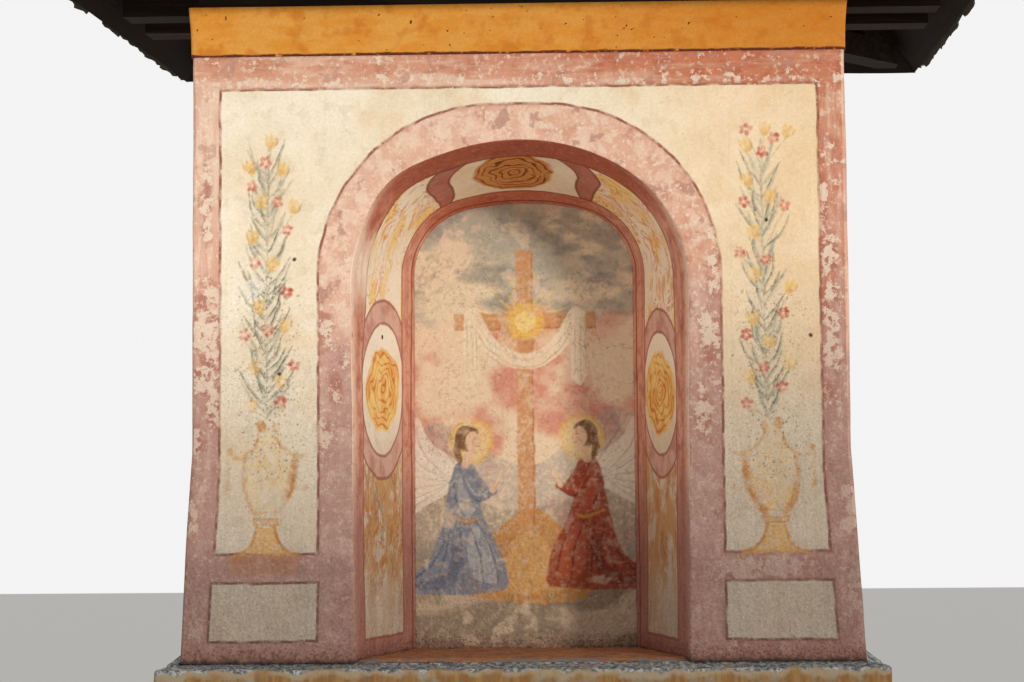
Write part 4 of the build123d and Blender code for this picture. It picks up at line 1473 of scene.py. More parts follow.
RIGHT_HANDLE = [
    (0.028, 0.236), (0.046, 0.219), (0.064, 0.212), (0.080, 0.210), (0.092, 0.213), (0.095, 0.200),
    (0.093, 0.178), (0.092, 0.154), (0.084, 0.142), (0.071, 0.138), (0.058, 0.146),
]


def paint_vase(p, middle, foot, turn, width, full=0.0):
    """An ochre urn with scrolled handles; turn is -1 for its mirror image, full how solid the bowl is."""

    def at(points):
        return [(middle + turn * width * x, foot + z) for x, z in points]

    p.wash(at(VASE_BOWL), VASE_WASH, 0.55, dry=0.7, curved=False, blur=0.003)
    p.blob(at([(0.004, 0.185)])[0], (0.030, 0.050), srgb(230, 186, 126), 0.40, dry=0.8, blur=0.010)
    shaded = [(0.056, 0.205), (0.054, 0.172), (0.045, 0.135), (0.028, 0.108)]
    p.stroke(at(shaded), 0.014, VASE_LINE, 0.5, dry=0.6)
    p.wash(at(VASE_BOWL[5:12]), srgb(234, 184, 116), 0.75 * full, dry=0.4, curved=False, blur=0.006)
    for side in (VASE_BOWL[4:8], VASE_BOWL[8:12]):
        p.stroke(at(side), 0.0150, VASE_LINE, 0.80 * full, "none", 0.4, 0.003)
    p.wash(at(VASE_FOOT), srgb(226, 174, 106), 0.9, dry=0.3, curved=False)
    p.stroke(at(VASE_FOOT[:5]), 0.0070, VASE_LINE, 0.8, "none", dry=0.5)
    p.stroke(at(VASE_FOOT[5:]), 0.0085, VASE_LINE, 0.85, "none", dry=0.5)
    p.stroke(at([(0.021, 0.056), (0.025, 0.034), (0.040, 0.014)]), 0.0060, VASE_DEEP, 0.6, dry=0.6)
    ring = [(-0.026, 0.064), (-0.027, 0.076), (0.027, 0.076), (0.026, 0.064)]
    p.wash(at(ring), srgb(216, 168, 112), 0.8, dry=0.4, curved=False)
    for left, right in ((0, 3), (1, 2)):
        p.stroke(at([ring[left], ring[right]]), 0.0042, VASE_LINE, 0.75, "none", dry=0.5)
    for side in (ring[:2], ring[2:], [(-0.024, 0.090), (0.024, 0.090)]):
        p.stroke(at(side), 0.0040, VASE_LINE, 0.7, "none", dry=0.5)
    p.stroke(at(VASE_BOWL[3:8]), 0.0100, VASE_LINE, 0.60, "none", 0.6, 0.0028)
    p.stroke(at(VASE_BOWL[8:13]), 0.0120, VASE_LINE, 0.80, "none", 0.5, 0.0028)
    p.stroke(at(VASE_BOWL[9:13]), 0.0036, VASE_DEEP, 0.6, "both", dry=0.6)
    for handle in (LEFT_HANDLE, RIGHT_HANDLE):
        p.stroke(at(handle[:6]), 0.0080, srgb(216, 164, 98), 0.75, "none", 0.6, 0.0026)
        p.stroke(at(handle[5:]), 0.0060, srgb(212, 166, 108), 0.6, "none", 0.7, 0.0026)
        p.blob(at([handle[5]])[0], (0.0065, 0.0065), VASE_LINE, 0.6, dry=0.6)
        p.blob(at([handle[8]])[0], (0.0060, 0.0070), VASE_LINE, 0.5, dry=0.6)
    p.stroke(at([(-0.013, 0.268), (-0.019, 0.240)]), 0.0050, VASE_DEEP, 0.6, "none", dry=0.7)
    p.stroke(at([(0.014, 0.262), (0.022, 0.245), (0.034, 0.228)]), 0.0065, VASE_LINE, 0.7, "none", dry=0.6)
    p.blob(at([(-0.010, 0.272)])[0], (0.0115, 0.0130), VASE_LINE, 0.85, dry=0.4)
    p.blob(at([(0.022, 0.270)])[0], (0.0090, 0.0110), VASE_LINE, 0.45, dry=0.6)
    p.stroke(at([(-0.004, 0.125), (0.006, 0.135), (0.012, 0.124)]), 0.0060, VASE_LINE, 0.35, dry=0.7)


# How fine the painted coats' grids are, and the nail holes and deep specks in them, in X and Z; the holes
# are dark dabs of painted shade

CANVAS_STEP = 0.0021
HOLE_RADIUS = 0.0042
HOLES = [(-0.480, 2.136), (-0.294, 1.965), (0.526, 2.210), (0.617, 1.964), (-0.512, 1.890), (-0.425, 1.560)]


def rub_paint(p, seed, loss=0.60):
    """Paint gone in patches, most of all on the vase."""
    firm = smooth(p.z, PANEL_FOOT + 0.055, PANEL_FOOT + 0.085)
    patches = p.patches(0.030, 3, seed, 0.0, 0.7) * smooth(p.z, 1.84, 1.76) * firm
    flecks = p.patches(0.012, 3, seed + 1, 0.25, 0.8) * (0.45 + 0.55 * firm)
    p.rub(loss * patches + 0.40 * flecks)


def paint_left(p):
    paint_bouquet(p, -0.533, 1.795, 2.375, LEFT_TULIPS, LEFT_BLOSSOMS, 4)
    p.blob((-0.568, 2.075), (0.021, 0.019), srgb(236, 228, 214), 0.55, dry=0.4)
    paint_vase(p, -0.540, PANEL_FOOT - 0.002, 1, 1.0)
    rub_paint(p, 141)
    paint_specks(p, -0.535, 1.66, 2.10, 680, 31)


def paint_right(p):
    paint_bouquet(p, 0.522, 1.790, 2.380, RIGHT_TULIPS, RIGHT_BLOSSOMS, 9)
    paint_vase(p, 0.536, PANEL_FOOT - 0.004, -1, 1.03, 1.0)
    rub_paint(p, 145, 0.35)
    paint_specks(p, 0.528, 1.66, 2.06, 480, 32)


def make_canvas(name, low, high, draw, seed, material):
    """A finely divided coat on the face's plaster that carries brushwork."""
    x, z = np.meshgrid(*(
        np.linspace(start, end, round((end - start) / CANVAS_STEP) + 1) for start, end in zip(low, high)
    ))
    true_face = FRONT - flare_at(z)
    flat = rows_of(x, true_face, z)
    rim = np.minimum.reduce([x - low[0], high[0] - x, z - low[1], high[1] - z])
    stand_off = -0.0006 + 0.0012 * smooth(rim, 0.0, 0.012)
    y = true_face - head_relief(flat).reshape(x.shape) - stand_off
    piece = grid_sheet(name, x, y, z, material)
    set_face_fields(piece)
    close_back(piece, 0.004)
    painting = Painting(piece, seed)
    draw(painting)
    # Nail holes and deep specks as dark dabs: painted shade inside them.
    for hole in HOLES:
        painting.blob(hole, (HOLE_RADIUS, HOLE_RADIUS), PAINTED_HOLE_SHADE, 0.95, dry=0.1)
    painting.store()
    place(piece, "painted_plaster")


# The picture at the back of the niche: two kneeling angels by a plain draped cross on a hill

PICTURE_STEP = 0.0027
GOLD = srgb(240, 196, 92)
GOLD_DEEP = srgb(206, 142, 54)
CROSS = srgb(206, 146, 94)
CROSS_DEEP = srgb(168, 100, 60)
CLOTH = srgb(238, 220, 190)
CLOTH_SHADE = srgb(196, 164, 130)
BLUE = srgb(126, 130, 140)
BLUE_PALE = srgb(186, 184, 180)
BLUE_DEEP = srgb(84, 86, 104)
RED_ROBE = srgb(156, 66, 44)
RED_LIGHT = srgb(196, 96, 64)
RED_DEEP = srgb(98, 40, 34)
FLESH = srgb(232, 192, 156)
FLESH_SHADE = srgb(196, 138, 106)
HAIR = srgb(122, 84, 58)
FEATHER = srgb(236, 222, 198)
FEATHER_SHADE = srgb(150, 128, 112)


def blend(a, b, part):
    return np.array(a[:3]) * (1 - part[:, None]) + np.array(b[:3]) * part[:, None]


def paint_ground_coat(p):
    """Grey clouds above, a rosy light behind the hill and brown earth below."""
    flat = p.flat
    clouds = 0.5 + 0.5 * rough(flat * [1, 1, 1.7], 0.16, 4, 61)
    sky = blend(srgb(176, 168, 150), srgb(232, 212, 178), smooth(clouds, 0.25, 0.75))
    grey = smooth(rough(flat * [1, 1, 2.0], 0.10, 5, 63), 0.05, 0.75)
    sky = sky + (np.array(srgb(132, 130, 124)[:3]) - sky) * grey[:, None] * 0.65
    glow = 0.5 + 0.5 * rough(flat * [1, 1, 1.3], 0.13, 4, 67)
    middle = blend(srgb(234, 208, 174), srgb(214, 148, 124), smooth(glow, 0.40, 0.78))
    soil = 0.5 + 0.5 * rough(flat * [0.5, 1, 1.6], 0.08, 4, 71)
    ground = blend(srgb(150, 130, 108), srgb(198, 172, 144), smooth(soil, 0.3, 0.8))
    edge = 0.030 * rough(flat, 0.10, 3, 73)
    low_sky = smooth(flat[:, 2] + edge, 2.035, 2.065)[:, None]
    low_ground = smooth(flat[:, 2] + 0.6 * edge, 1.560, 1.500)[:, None]
    p.colour = sky * low_sky + middle * (1 - low_sky)
    p.colour = p.colour * (1 - low_ground) + ground * low_ground
    p.cover[:] = 1


def paint_hills(p):
    """Two lines of hills, and the mound that the cross stands on."""
    far = [
        (-0.30, 1.72), (-0.20, 1.80), (-0.11, 1.74), (0.02, 1.70), (0.12, 1.77), (0.20, 1.83), (0.30, 1.76),
        (0.30, 1.50), (-0.30, 1.50),
    ]
    p.wash(far, srgb(168, 158, 150), 0.55, dry=0.6)
    near = [
        (-0.30, 1.62), (-0.18, 1.66), (-0.05, 1.60), (0.10, 1.62), (0.20, 1.67), (0.30, 1.63),
        (0.30, 1.45), (-0.30, 1.45),
    ]
    p.wash(near, srgb(150, 134, 108), 0.5, dry=0.6)
    mound = [
        (-0.15, 1.41), (-0.12, 1.47), (-0.06, 1.555), (0.00, 1.60), (0.05, 1.59), (0.11, 1.52), (0.15, 1.41),
        (0.05, 1.385), (-0.06, 1.392),
    ]
    p.wash(mound, srgb(198, 138, 72), 0.92, dry=0.35)
    for number in range(9):
        x = -0.12 + 0.03 * number
        top = 1.43 + 0.11 * math.cos(x * 11)
        fold = [(x - 0.02, top - 0.05), (x, top), (x + 0.03, top - 0.04)]
        p.stroke(fold, 0.004, srgb(146, 96, 56), 0.5, dry=0.7)
    light = [(-0.06, 1.42), (-0.03, 1.52), (0.02, 1.555), (0.06, 1.50), (0.09, 1.42), (0.01, 1.405)]
    p.wash(light, srgb(222, 172, 106), 0.65, dry=0.6, blur=0.006)


def paint_cross(p):
    """A plain cross hung with a white cloth, in a gold glory."""
    middle = np.array([0.004, 2.030])
    for number in range(24):
        angle = number * math.pi / 12 + 0.06
        reach = 0.115 if number % 2 else 0.085
        way = np.array([math.cos(angle), math.sin(angle)])
        p.stroke([middle + 0.030 * way, middle + reach * way], 0.007, GOLD, 0.6, "end", dry=0.6)
    post = [(-0.016, 1.55), (-0.019, 2.195), (0.021, 2.196), (0.024, 1.55)]
    arms = [(-0.158, 2.011), (-0.160, 2.048), (0.166, 2.051), (0.167, 2.013)]
    for beam in (post, arms):
        p.wash(beam, CROSS, 0.92, dry=0.45, curved=False)
    shaded_edges = [
        [(0.021, 1.56), (0.019, 2.00)], [(0.019, 2.055), (0.018, 2.19)],
        [(-0.155, 2.013), (-0.02, 2.012)], [(0.022, 2.014), (0.163, 2.016)],
    ]
    for edge in shaded_edges:
        p.stroke(edge, 0.004, CROSS_DEEP, 0.65, "none", dry=0.6)
    p.blob(middle, (0.043, 0.043), GOLD, 0.75, dry=0.5, blur=0.004)
    p.blob(middle, (0.024, 0.024), srgb(246, 222, 150), 0.7, dry=0.4, blur=0.003)
    swag = [
        (-0.118, 2.045), (-0.085, 1.985), (-0.030, 1.945), (0.030, 1.942), (0.085, 1.984), (0.122, 2.048),
    ]
    p.stroke(swag, 0.036, CLOTH, 0.88, "none", dry=0.3, blur=0.002)
    p.stroke([(x, z - 0.013) for x, z in swag], 0.0045, CLOTH_SHADE, 0.7, "both", dry=0.5)
    p.stroke([(x, z + 0.006) for x, z in swag], 0.003, CLOTH_SHADE, 0.55, "both", dry=0.6)
    for x in (-0.122, 0.127):
        tail = [(-0.016, 2.052), (0.014, 2.054), (0.018, 1.905), (0.002, 1.880), (-0.018, 1.900)]
        p.wash([(x + across, z) for across, z in tail], CLOTH, 0.88, dry=0.3, curved=False)
        for fold in (-0.008, 0.003, 0.012):
            p.stroke([(x + fold, 2.04), (x + fold * 1.2, 1.91)], 0.003, CLOTH_SHADE, 0.6, "both", dry=0.5)


def paint_angel(p, foot_x, foot_z, size, facing, robe, light, deep):
    """A kneeling angel with joined hands; facing is 1 to the right and -1 to the left."""

    def at(x, z):
        return (foot_x + facing * x * size, foot_z + z * size)

    def run_of(*points):
        return [at(x, z) for x, z in points]

    feathers = ((-0.08, 0.66), (-0.30, 0.98), 0.052 * size / 0.36, FEATHER, 0.85, "end", 0.35)
    quills = ((-0.10, 0.62), (-0.31, 0.95), 0.0032, FEATHER_SHADE, 0.5)
    for root, (tip_x, tip_z), *paint in (feathers, quills):
        for number in range(6):
            bend = (-0.26 - 0.02 * number, tip_z - 0.16 - 0.07 * number)
            tip = (tip_x - 0.035 * number, tip_z - 0.14 * number)
            p.stroke(run_of(root, bend, tip), *paint)
    p.stroke(run_of((-0.07, 0.70), (-0.18, 0.86), (-0.27, 1.00)), 0.005, FEATHER_SHADE, 0.5)
    body = run_of(
        (0.20, 0.00), (0.22, 0.07), (0.17, 0.24), (0.10, 0.38), (0.055, 0.52), (0.06, 0.64),
        (0.02, 0.73), (-0.05, 0.74), (-0.10, 0.66), (-0.13, 0.50), (-0.17, 0.32), (-0.24, 0.17),
        (-0.38, 0.07), (-0.42, 0.00), (-0.20, -0.02), (0.0, -0.02),
    )
    p.wash(body, robe, 0.95, dry=0.3)
    lap = ((0.16, 0.04), (0.15, 0.20), (0.06, 0.36), (-0.01, 0.30), (0.02, 0.08))
    train = ((-0.10, 0.30), (-0.13, 0.12), (-0.34, 0.03), (-0.12, 0.02), (-0.04, 0.20))
    chest = ((0.02, 0.68), (0.05, 0.55), (0.0, 0.42), (-0.07, 0.46), (-0.05, 0.66))
    for part, colour, strength in ((lap, light, 0.55), (train, deep, 0.55), (chest, light, 0.5)):
        p.wash(run_of(*part), colour, strength, dry=0.5)
    folds = [
        ((0.04, 0.40), (0.13, 0.22), (0.17, 0.03)), ((-0.01, 0.40), (0.06, 0.20), (0.08, 0.02)),
        ((-0.06, 0.40), (-0.04, 0.20), (-0.03, 0.02)), ((-0.10, 0.38), (-0.14, 0.20), (-0.20, 0.03)),
        ((-0.13, 0.30), (-0.22, 0.15), (-0.36, 0.04)), ((-0.09, 0.62), (-0.07, 0.50), (-0.02, 0.42)),
    ]
    for fold in folds:
        p.stroke(run_of(*fold), 0.0052, deep, 0.7, dry=0.5)
    p.stroke(run_of((0.055, 0.415), (-0.02, 0.395), (-0.12, 0.44)), 0.008, GOLD_DEEP, 0.8, dry=0.4)
    sleeve = run_of((-0.06, 0.70), (0.03, 0.69), (0.13, 0.565), (0.15, 0.60), (0.10, 0.54), (0.02, 0.50))
    p.wash(sleeve, robe, 0.9, dry=0.3)
    p.stroke(run_of((-0.04, 0.66), (0.04, 0.53), (0.14, 0.57)), 0.020, robe, 0.95, "start", dry=0.2)
    p.stroke(run_of((-0.03, 0.65), (0.045, 0.545), (0.13, 0.585)), 0.005, light, 0.7, dry=0.4)
    p.stroke(run_of((0.0, 0.56), (0.06, 0.51), (0.14, 0.55)), 0.004, deep, 0.7, dry=0.4)
    p.stroke(run_of((0.135, 0.575), (0.165, 0.625), (0.185, 0.69)), 0.013, FLESH, 0.95, "end", dry=0.2)
    p.stroke(run_of((0.15, 0.58), (0.18, 0.63)), 0.0028, FLESH_SHADE, 0.7, dry=0.4)
    for radius, colour, strength in ((0.132, srgb(232, 188, 96), 0.7), (0.108, srgb(238, 212, 156), 0.6)):
        p.blob(at(0.015, 0.855), (radius * size, radius * size), colour, strength, dry=0.5, blur=0.004)
    p.stroke(run_of((-0.015, 0.73), (0.005, 0.79)), 0.021, FLESH, 0.95, "none", dry=0.2)
    p.blob(at(-0.012, 0.872), (0.066 * size, 0.074 * size), HAIR, 0.95, dry=0.3)
    p.stroke(run_of((-0.055, 0.89), (-0.068, 0.80), (-0.045, 0.72)), 0.017, HAIR, 0.9, "both", dry=0.3)
    p.blob(at(0.024, 0.852), (0.043 * size, 0.060 * size), FLESH, 0.98, -0.12 * facing, dry=0.15)
    p.stroke(run_of((0.030, 0.867), (0.048, 0.866)), 0.0022, srgb(96, 62, 46), 0.75, "none", 0.2, 0.0008)
    p.stroke(run_of((0.028, 0.880), (0.050, 0.880)), 0.0016, HAIR, 0.6, "both", 0.2, 0.0008)
    nose = run_of((0.060, 0.866), (0.066, 0.846), (0.056, 0.840))
    p.stroke(nose, 0.0018, FLESH_SHADE, 0.7, "none", 0.2, 0.0008)
    p.stroke(run_of((0.040, 0.824), (0.055, 0.825)), 0.0024, srgb(190, 96, 80), 0.7, "none", 0.2, 0.0008)
    p.blob(at(0.032, 0.842), (0.010 * size, 0.010 * size), srgb(224, 160, 128), 0.5, dry=0.2)
    p.stroke(run_of((-0.02, 0.935), (0.03, 0.925), (0.055, 0.895)), 0.008, HAIR, 0.9, "both", dry=0.2)


def paint_niche(p):
    paint_ground_coat(p)
    paint_hills(p)
    paint_cross(p)
    paint_angel(p, -0.128, 1.415, 0.40, 1, BLUE, BLUE_PALE, BLUE_DEEP)
    paint_angel(p, 0.135, 1.425, 0.40, -1, RED_ROBE, RED_LIGHT, RED_DEEP)
    for x, z in ((-0.20, 1.385), (-0.04, 1.375), (0.06, 1.385), (0.21, 1.39)):
        for lean in (-0.4, 0.0, 0.35):
            tip = (x + 0.035 * math.sin(lean), z + 0.035 * math.cos(lean))
            p.stroke([(x, z), tip], 0.004, srgb(112, 112, 80), 0.6, dry=0.5)
    p.lay(0.5 * p.patches(0.045, 5, 83, 0.45, 0.9), srgb(230, 204, 172))
    from_bare = np.hypot((p.x + 0.160) / 0.040, (p.z - 2.185) / 0.046)
    bare = smooth(from_bare + 0.45 * rough(p.flat, 0.02, 4, 85), 1.1, 0.8)
    p.lay(0.7 * bare, srgb(232, 206, 176))
    p.lay(0.22 * p.patches(0.012, 3, 87, 0.1, 0.9), srgb(228, 200, 168))
    dark = p.patches(0.006, 2, 89, 0.35, 0.85) * p.patches(0.09, 2, 90, 0.0, 0.5)
    p.lay(0.24 * dark, srgb(120, 104, 90))
    grit = p.patches(0.007, 2, 93, -0.1, 0.8) * p.patches(0.14, 3, 94, -0.3, 0.4)
    p.lay(0.42 * grit * smooth(p.z, 2.00, 2.14), srgb(112, 106, 98))


def picture_material():
    s = Plaster("picture_paint", rise=0.6, foot_tone=0.86, dirt=0.05)
    paint = s.field("paint", "Color")
    colour = s.mix(s.ramp(s.fine, 0.56, 0.72, 0.0, 0.30), paint, srgb(230, 206, 176))
    colour = s.mix(s.ramp(s.fine, 0.44, 0.32, 0.0, 0.22), colour, srgb(120, 96, 80))
    cracks = s.ramp(abs(s.noise(0.12, 5.0, 0.6, None, 0.6) - 0.5), 0.006, 0.0015)
    colour = s.mix(cracks * 0.30, colour, srgb(96, 74, 60))
    return s.done(colour)


def make_picture():
    """The arched plaster slab at the back of the niche, finely divided to carry the painting."""
    half, step = BACK_HALF_WIDTH, PICTURE_STEP
    x, z = np.meshgrid(
        np.linspace(-half, half, round(2 * half / step) + 1),
        np.linspace(LEDGE_TOP, BACK_CROWN + step, round((BACK_CROWN - LEDGE_TOP) / step) + 2),
    )
    distance = arch_distance(x, z, BACK_ARCH)
    inside = distance < 0
    little = 1e-5
    outward_x = (arch_distance(x + little, z, BACK_ARCH) - distance) / little
    outward_z = (arch_distance(x, z + little, BACK_ARCH) - distance) / little
    x = np.where(distance > 0, x - outward_x * distance, x)
    z = np.where(distance > 0, z - outward_z * distance, z)
    flat = rows_of(x, PICTURE_PLANE, z)
    rim = np.clip(-distance / 0.02, 0, 1)
    y = PICTURE_PLANE - (0.0016 * rough(flat, 0.2, 3, 91).reshape(x.shape) - 0.0004) * rim
    keep = inside[:-1, :-1] | inside[1:, :-1] | inside[:-1, 1:] | inside[1:, 1:]
    faces = grid_faces(np.arange(x.size).reshape(x.shape))[keep]
    used, faces = np.unique(faces, return_inverse=True)
    faces = faces.reshape(-1, 4).tolist()
    mesh = make_mesh("niche_picture", rows_of(x, y, z)[used], faces, [picture_material()], {})
    weld(mesh, 1e-4)
    piece = add_object("niche_picture", mesh)
    close_back(piece, PICTURE_BACK - PICTURE_PLANE - 0.001)
    painting = Painting(piece, 77)
    paint_niche(painting)
    painting.store()
    place(piece, "picture_plaster", "picture_plaster")


# Timber


def timber_material(name, dark=srgb(28, 20, 15), pale=srgb(56, 42, 32)):
    """Rough-sawn softwood gone dark, with grain along the longest way of the piece, and darkened further as
    painted shade for the timber under the eaves.
    """
    s = Shader(name)
    grain_a = s.noise(0.012, 5.0, 0.65, s.stretched(0.06, 1.0, 1.0), 0.4)
    grain_b = s.noise(0.012, 5.0, 0.65, s.stretched(1.0, 0.06, 1.0), 0.4)
    blotch = s.noise(0.18, 3.0)
    along_y = s.sideways(0.5)
    grain = grain_b * along_y + grain_a * (1.0 - along_y)
    colour = s.mix(s.ramp(grain, 0.35, 0.68), dark, pale)
    colour = s.mix(s.ramp(blotch, 0.4, 0.62, 0.0, 0.6), colour, srgb(36, 27, 21))
    saw = s.noise(0.006, 2.0)
    return s.finish(colour, 0.85, s.bump((grain, 0.0022), (saw, 0.0007)))


def board_material(name, colours, dirt, size=0.010):
    """Wood whose grain follows the fields laid on each board: run along it, rise across it; the underside is
    darkened as painted shade.
    """
    s = Shader(name)
    vector = s.value("ShaderNodeCombineXYZ", s.field("along"), s.field("across"), s.field("tint"))
    grain = s.noise(size, 5.0, 0.62, s.stretched(0.07, 1.0, 25.0, vector), 0.5)
    fibre = s.noise(size / 4, 3.0, 0.6, s.stretched(0.05, 1.0, 25.0, vector))
    tint = s.field("tint")
    dark, middle, pale = colours
    colour = s.mix(s.ramp(tint, 0.0, 1.0), middle, pale)
    colour = s.mix(s.ramp(grain, 0.42, 0.66, 0.0, 0.8), colour, dark)
    colour = s.mix(s.ramp(fibre, 0.55, 0.72, 0.0, 0.5), colour, pale)
    blotch = s.noise(0.10, 3.0)
    colour = s.mix(s.ramp(blotch, 0.45, 0.65, 0.0, dirt), colour, dark)
    # Painted shade: each board's and shingle's underside is darkened.
    under = s.field("under")
    colour = s.mix(under * 0.85, colour, dark)
    return s.finish(colour, 0.88, s.bump((grain, 0.0016), (fibre, 0.0007)))


TIMBER_SLOTS = ("plate", "joist", "joists", "rafter", "rafters", "beam")


def dress_timber():
    material = timber_material("old_timber")
    for name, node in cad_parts.items():
        if name.split("_")[-1] in TIMBER_SLOTS:
            for slot in node.material_slots:
                slot.material = material


# The roof. Each slope is laid out by its run along the eave and its inset from the joists' ends in plan.

END_LINE = -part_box("front_right_hip_rafter")[0].y
SIDE_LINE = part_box("front_right_hip_rafter")[1].x
SKEW_LINE = 0.841
SHINGLE_OVERHANG = -END_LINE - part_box("front_shingles")[0].y
BOARD_OVERHANG = -END_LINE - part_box("front_roof_boards")[0].y
CAP_OVERHANG = SHINGLE_OVERHANG + 0.004
BOARD_THICKNESS = 0.024
BOARD_WIDTH = 0.115
BOARD_WIDER = 0.045
BOARD_GAP = 0.0035
SHINGLE_WIDTH = 0.075
SHINGLE_WIDER = 0.085
SHINGLE_GAP = 0.0028
BUTT_LIFT = 0.048
HEAD_LIFT = 0.034
CAP_THICKNESS = 0.020
CAP_LENGTH = 0.21
CAP_WIDTH = 0.092
COURSES = 8
EXPOSURE = (END_LINE + SHINGLE_OVERHANG) / COURSES
HALF_PITCH = math.sqrt(0.5)
CORNERS = np.array([
    (-SIDE_LINE, -END_LINE), (SIDE_LINE, -END_LINE), (SIDE_LINE, END_LINE), (-SKEW_LINE, END_LINE),
])
SLOPES = ["front", "right", "back", "left"]
SHINGLE_COLOURS = (srgb(62, 54, 47), srgb(112, 101, 89), srgb(150, 138, 122))
# The boards are darker than the wood alone, as painted shade under the eaves.
BOARD_COLOURS = (srgb(28, 21, 17), srgb(52, 40, 31), srgb(70, 55, 42))


def eave_line(slope):
    """A slope's first corner, the way along its eave, the way in from it and the eave's length."""
    whole = CORNERS[(slope + 1) % 4] - CORNERS[slope]
    along = unit(whole)
    return CORNERS[slope], along, np.array([-along[1], along[0]]), np.linalg.norm(whole)


def hip_slant(corner):
    """How far a hip moves along the eave after it for each unit of inset, and along the eave before it."""
    _, before, in_before, _ = eave_line((corner - 1) % 4)
    _, after, in_after, _ = eave_line(corner)
    bisector = in_before + in_after
    step = bisector / bisector.dot(in_after)
    return step.dot(after), -step.dot(before)


def on_slope(slope, run, inset, lift_by):
    """Places over a slope, standing that far off it, and cut off upright at the hips and the ridge."""
    start, along, inward, length = eave_line(slope)
    inset = np.minimum(inset, END_LINE)
    z = EAVE_LEVEL + inset + lift_by / HALF_PITCH
    low = inset * hip_slant(slope)[0]
    high = length - inset * hip_slant((slope + 1) % 4)[1]
    run = np.clip(run, np.minimum(low, high), np.maximum(low, high))
    plan = start + along * run[..., None] + inward * inset[..., None]
    return np.concatenate([plan, z[..., None]], -1)


class Slats:
    """Many thin closed boards gathered in one mesh."""

    def __init__(self):
        self.points = []
        self.faces = []
        self.fields = {"along": [], "across": [], "tint": [], "under": []}
        self.count = 0

    def add(self, top, bottom, along, across, tint):
        """A board between two grids of points, with the fields that its grain follows."""
        rows, columns = top.shape[:2]
        half = rows * columns
        upper = self.count + np.arange(half).reshape(rows, columns)
        lower = upper + half
        self.count += 2 * half
        self.points += [top.reshape(-1, 3), bottom.reshape(-1, 3)]
        rim = np.array([*upper[0, :-1], *upper[:-1, -1], *upper[-1, :0:-1], *upper[:0:-1, 0]])
        following = np.roll(rim, -1)
        for faces in (
            grid_faces(upper).reshape(-1, 4),
            grid_faces(lower).reshape(-1, 4)[:, [0, 3, 2, 1]],
            np.stack([following, rim, rim + half, following + half], 1),
        ):
            self.faces.extend(faces.tolist())
        for name, values in (("along", along), ("across", across), ("tint", tint)):
            values = np.broadcast_to(values, (rows, columns)).reshape(-1)
            self.fields[name] += [values, values]
        # under is 1 on a slat's lower face, which its material darkens as painted shade.
        self.fields["under"] += [np.zeros(half), np.ones(half)]

    def build(self, name, material):
        fields = {field: np.concatenate(values) for field, values in self.fields.items()}
        mesh = make_mesh(name, np.concatenate(self.points), self.faces, [material], fields)
        with opened(mesh) as work:
            bmesh.ops.dissolve_degenerate(work, edges=work.edges, dist=2e-4)
        return add_object(name, mesh)


def lay_boards(slope, material):
    """Sheathing boards along the slope, with open joints, cut upright at the hips."""
    random = np.random.default_rng(100 + slope)
    slats = Slats()
    length = eave_line(slope)[3]
    run = np.linspace(-0.2, length + 0.2, 40)
    foot = -BOARD_OVERHANG + 0.0005
    low = foot
    number = 0
    while low < END_LINE - 0.01:
        high = low + (BOARD_WIDTH + BOARD_WIDER * random.random()) * HALF_PITCH
        if END_LINE - high < 0.04:
            high = END_LINE
        edge = low + 0.0012 * rough(rows_of(run, 0.0), 0.2, 2, 300 + number)
        part = np.array([0.0, 0.33, 0.67, 1.0])[:, None]
        inset = np.maximum(edge, foot) * (1 - part) + (high - BOARD_GAP * HALF_PITCH) * part
        warp = 0.0008 * rough(rows_of(run, inset), 0.3, 2, number)
        warp = np.clip(warp.reshape(inset.shape), -0.001, 0.001)
        top = on_slope(slope, run, inset, BOARD_THICKNESS - 0.001 + warp)
        bottom = on_slope(slope, run, inset, 0.001 + warp)
        slats.add(top, bottom, run + number, inset, random.random())
        low = high
        number += 1
    name = SLOPES[slope]
    piece = slats.build(f"{name}_boarding", material)
    place(piece, "roof_boarding", f"{name}_roof_boards")


def add_shingle(slats, slope, left, right, foot, top_butt, random):
    """One split shingle: a wedge from its butt up to its thin hidden head."""
    columns = max(3, round((right - left) / 0.028) + 1)
    stations = np.array([0.0, 0.03, 0.25, 0.5, 0.71, 1.0, 1.3, 1.62])[:, None]
    shown = np.clip(1 - stations, 0, 1)
    across = np.linspace(0, 1, columns)
    t = stations * EXPOSURE
    skew = 0.010 * (random.random() - 0.5)
    run = left + (right - left) * across + skew * stations
    ragged = 0.0035 * (random.random(columns) - 0.5) + 0.006 * (random.random() - 0.5) * across
    inset = foot + t + ragged * shown
    thinner = BUTT_LIFT - HEAD_LIFT
    cup = 0.0022 * (random.random() - 0.35) * (2 * across - 1) ** 2
    top = np.maximum(top_butt - thinner * stations, BOARD_THICKNESS + 0.002)
    bottom = np.maximum(top_butt - thinner * (1 + stations), BOARD_THICKNESS + 0.0004)
    top = np.maximum(top, bottom + 0.0012)
    ease = np.where(stations == 0, 0.0022, 0.0)
    waves = 0.0009 * (random.random((len(stations), columns)) - 0.5)
    upper = on_slope(slope, run, inset, top - ease + cup * shown + waves - 0.0012)
    lower = on_slope(slope, run, inset, bottom)
    tint = random.random()
    slats.add(upper, lower, t + 3.0 * random.random(), run + 5 * random.random(), tint)


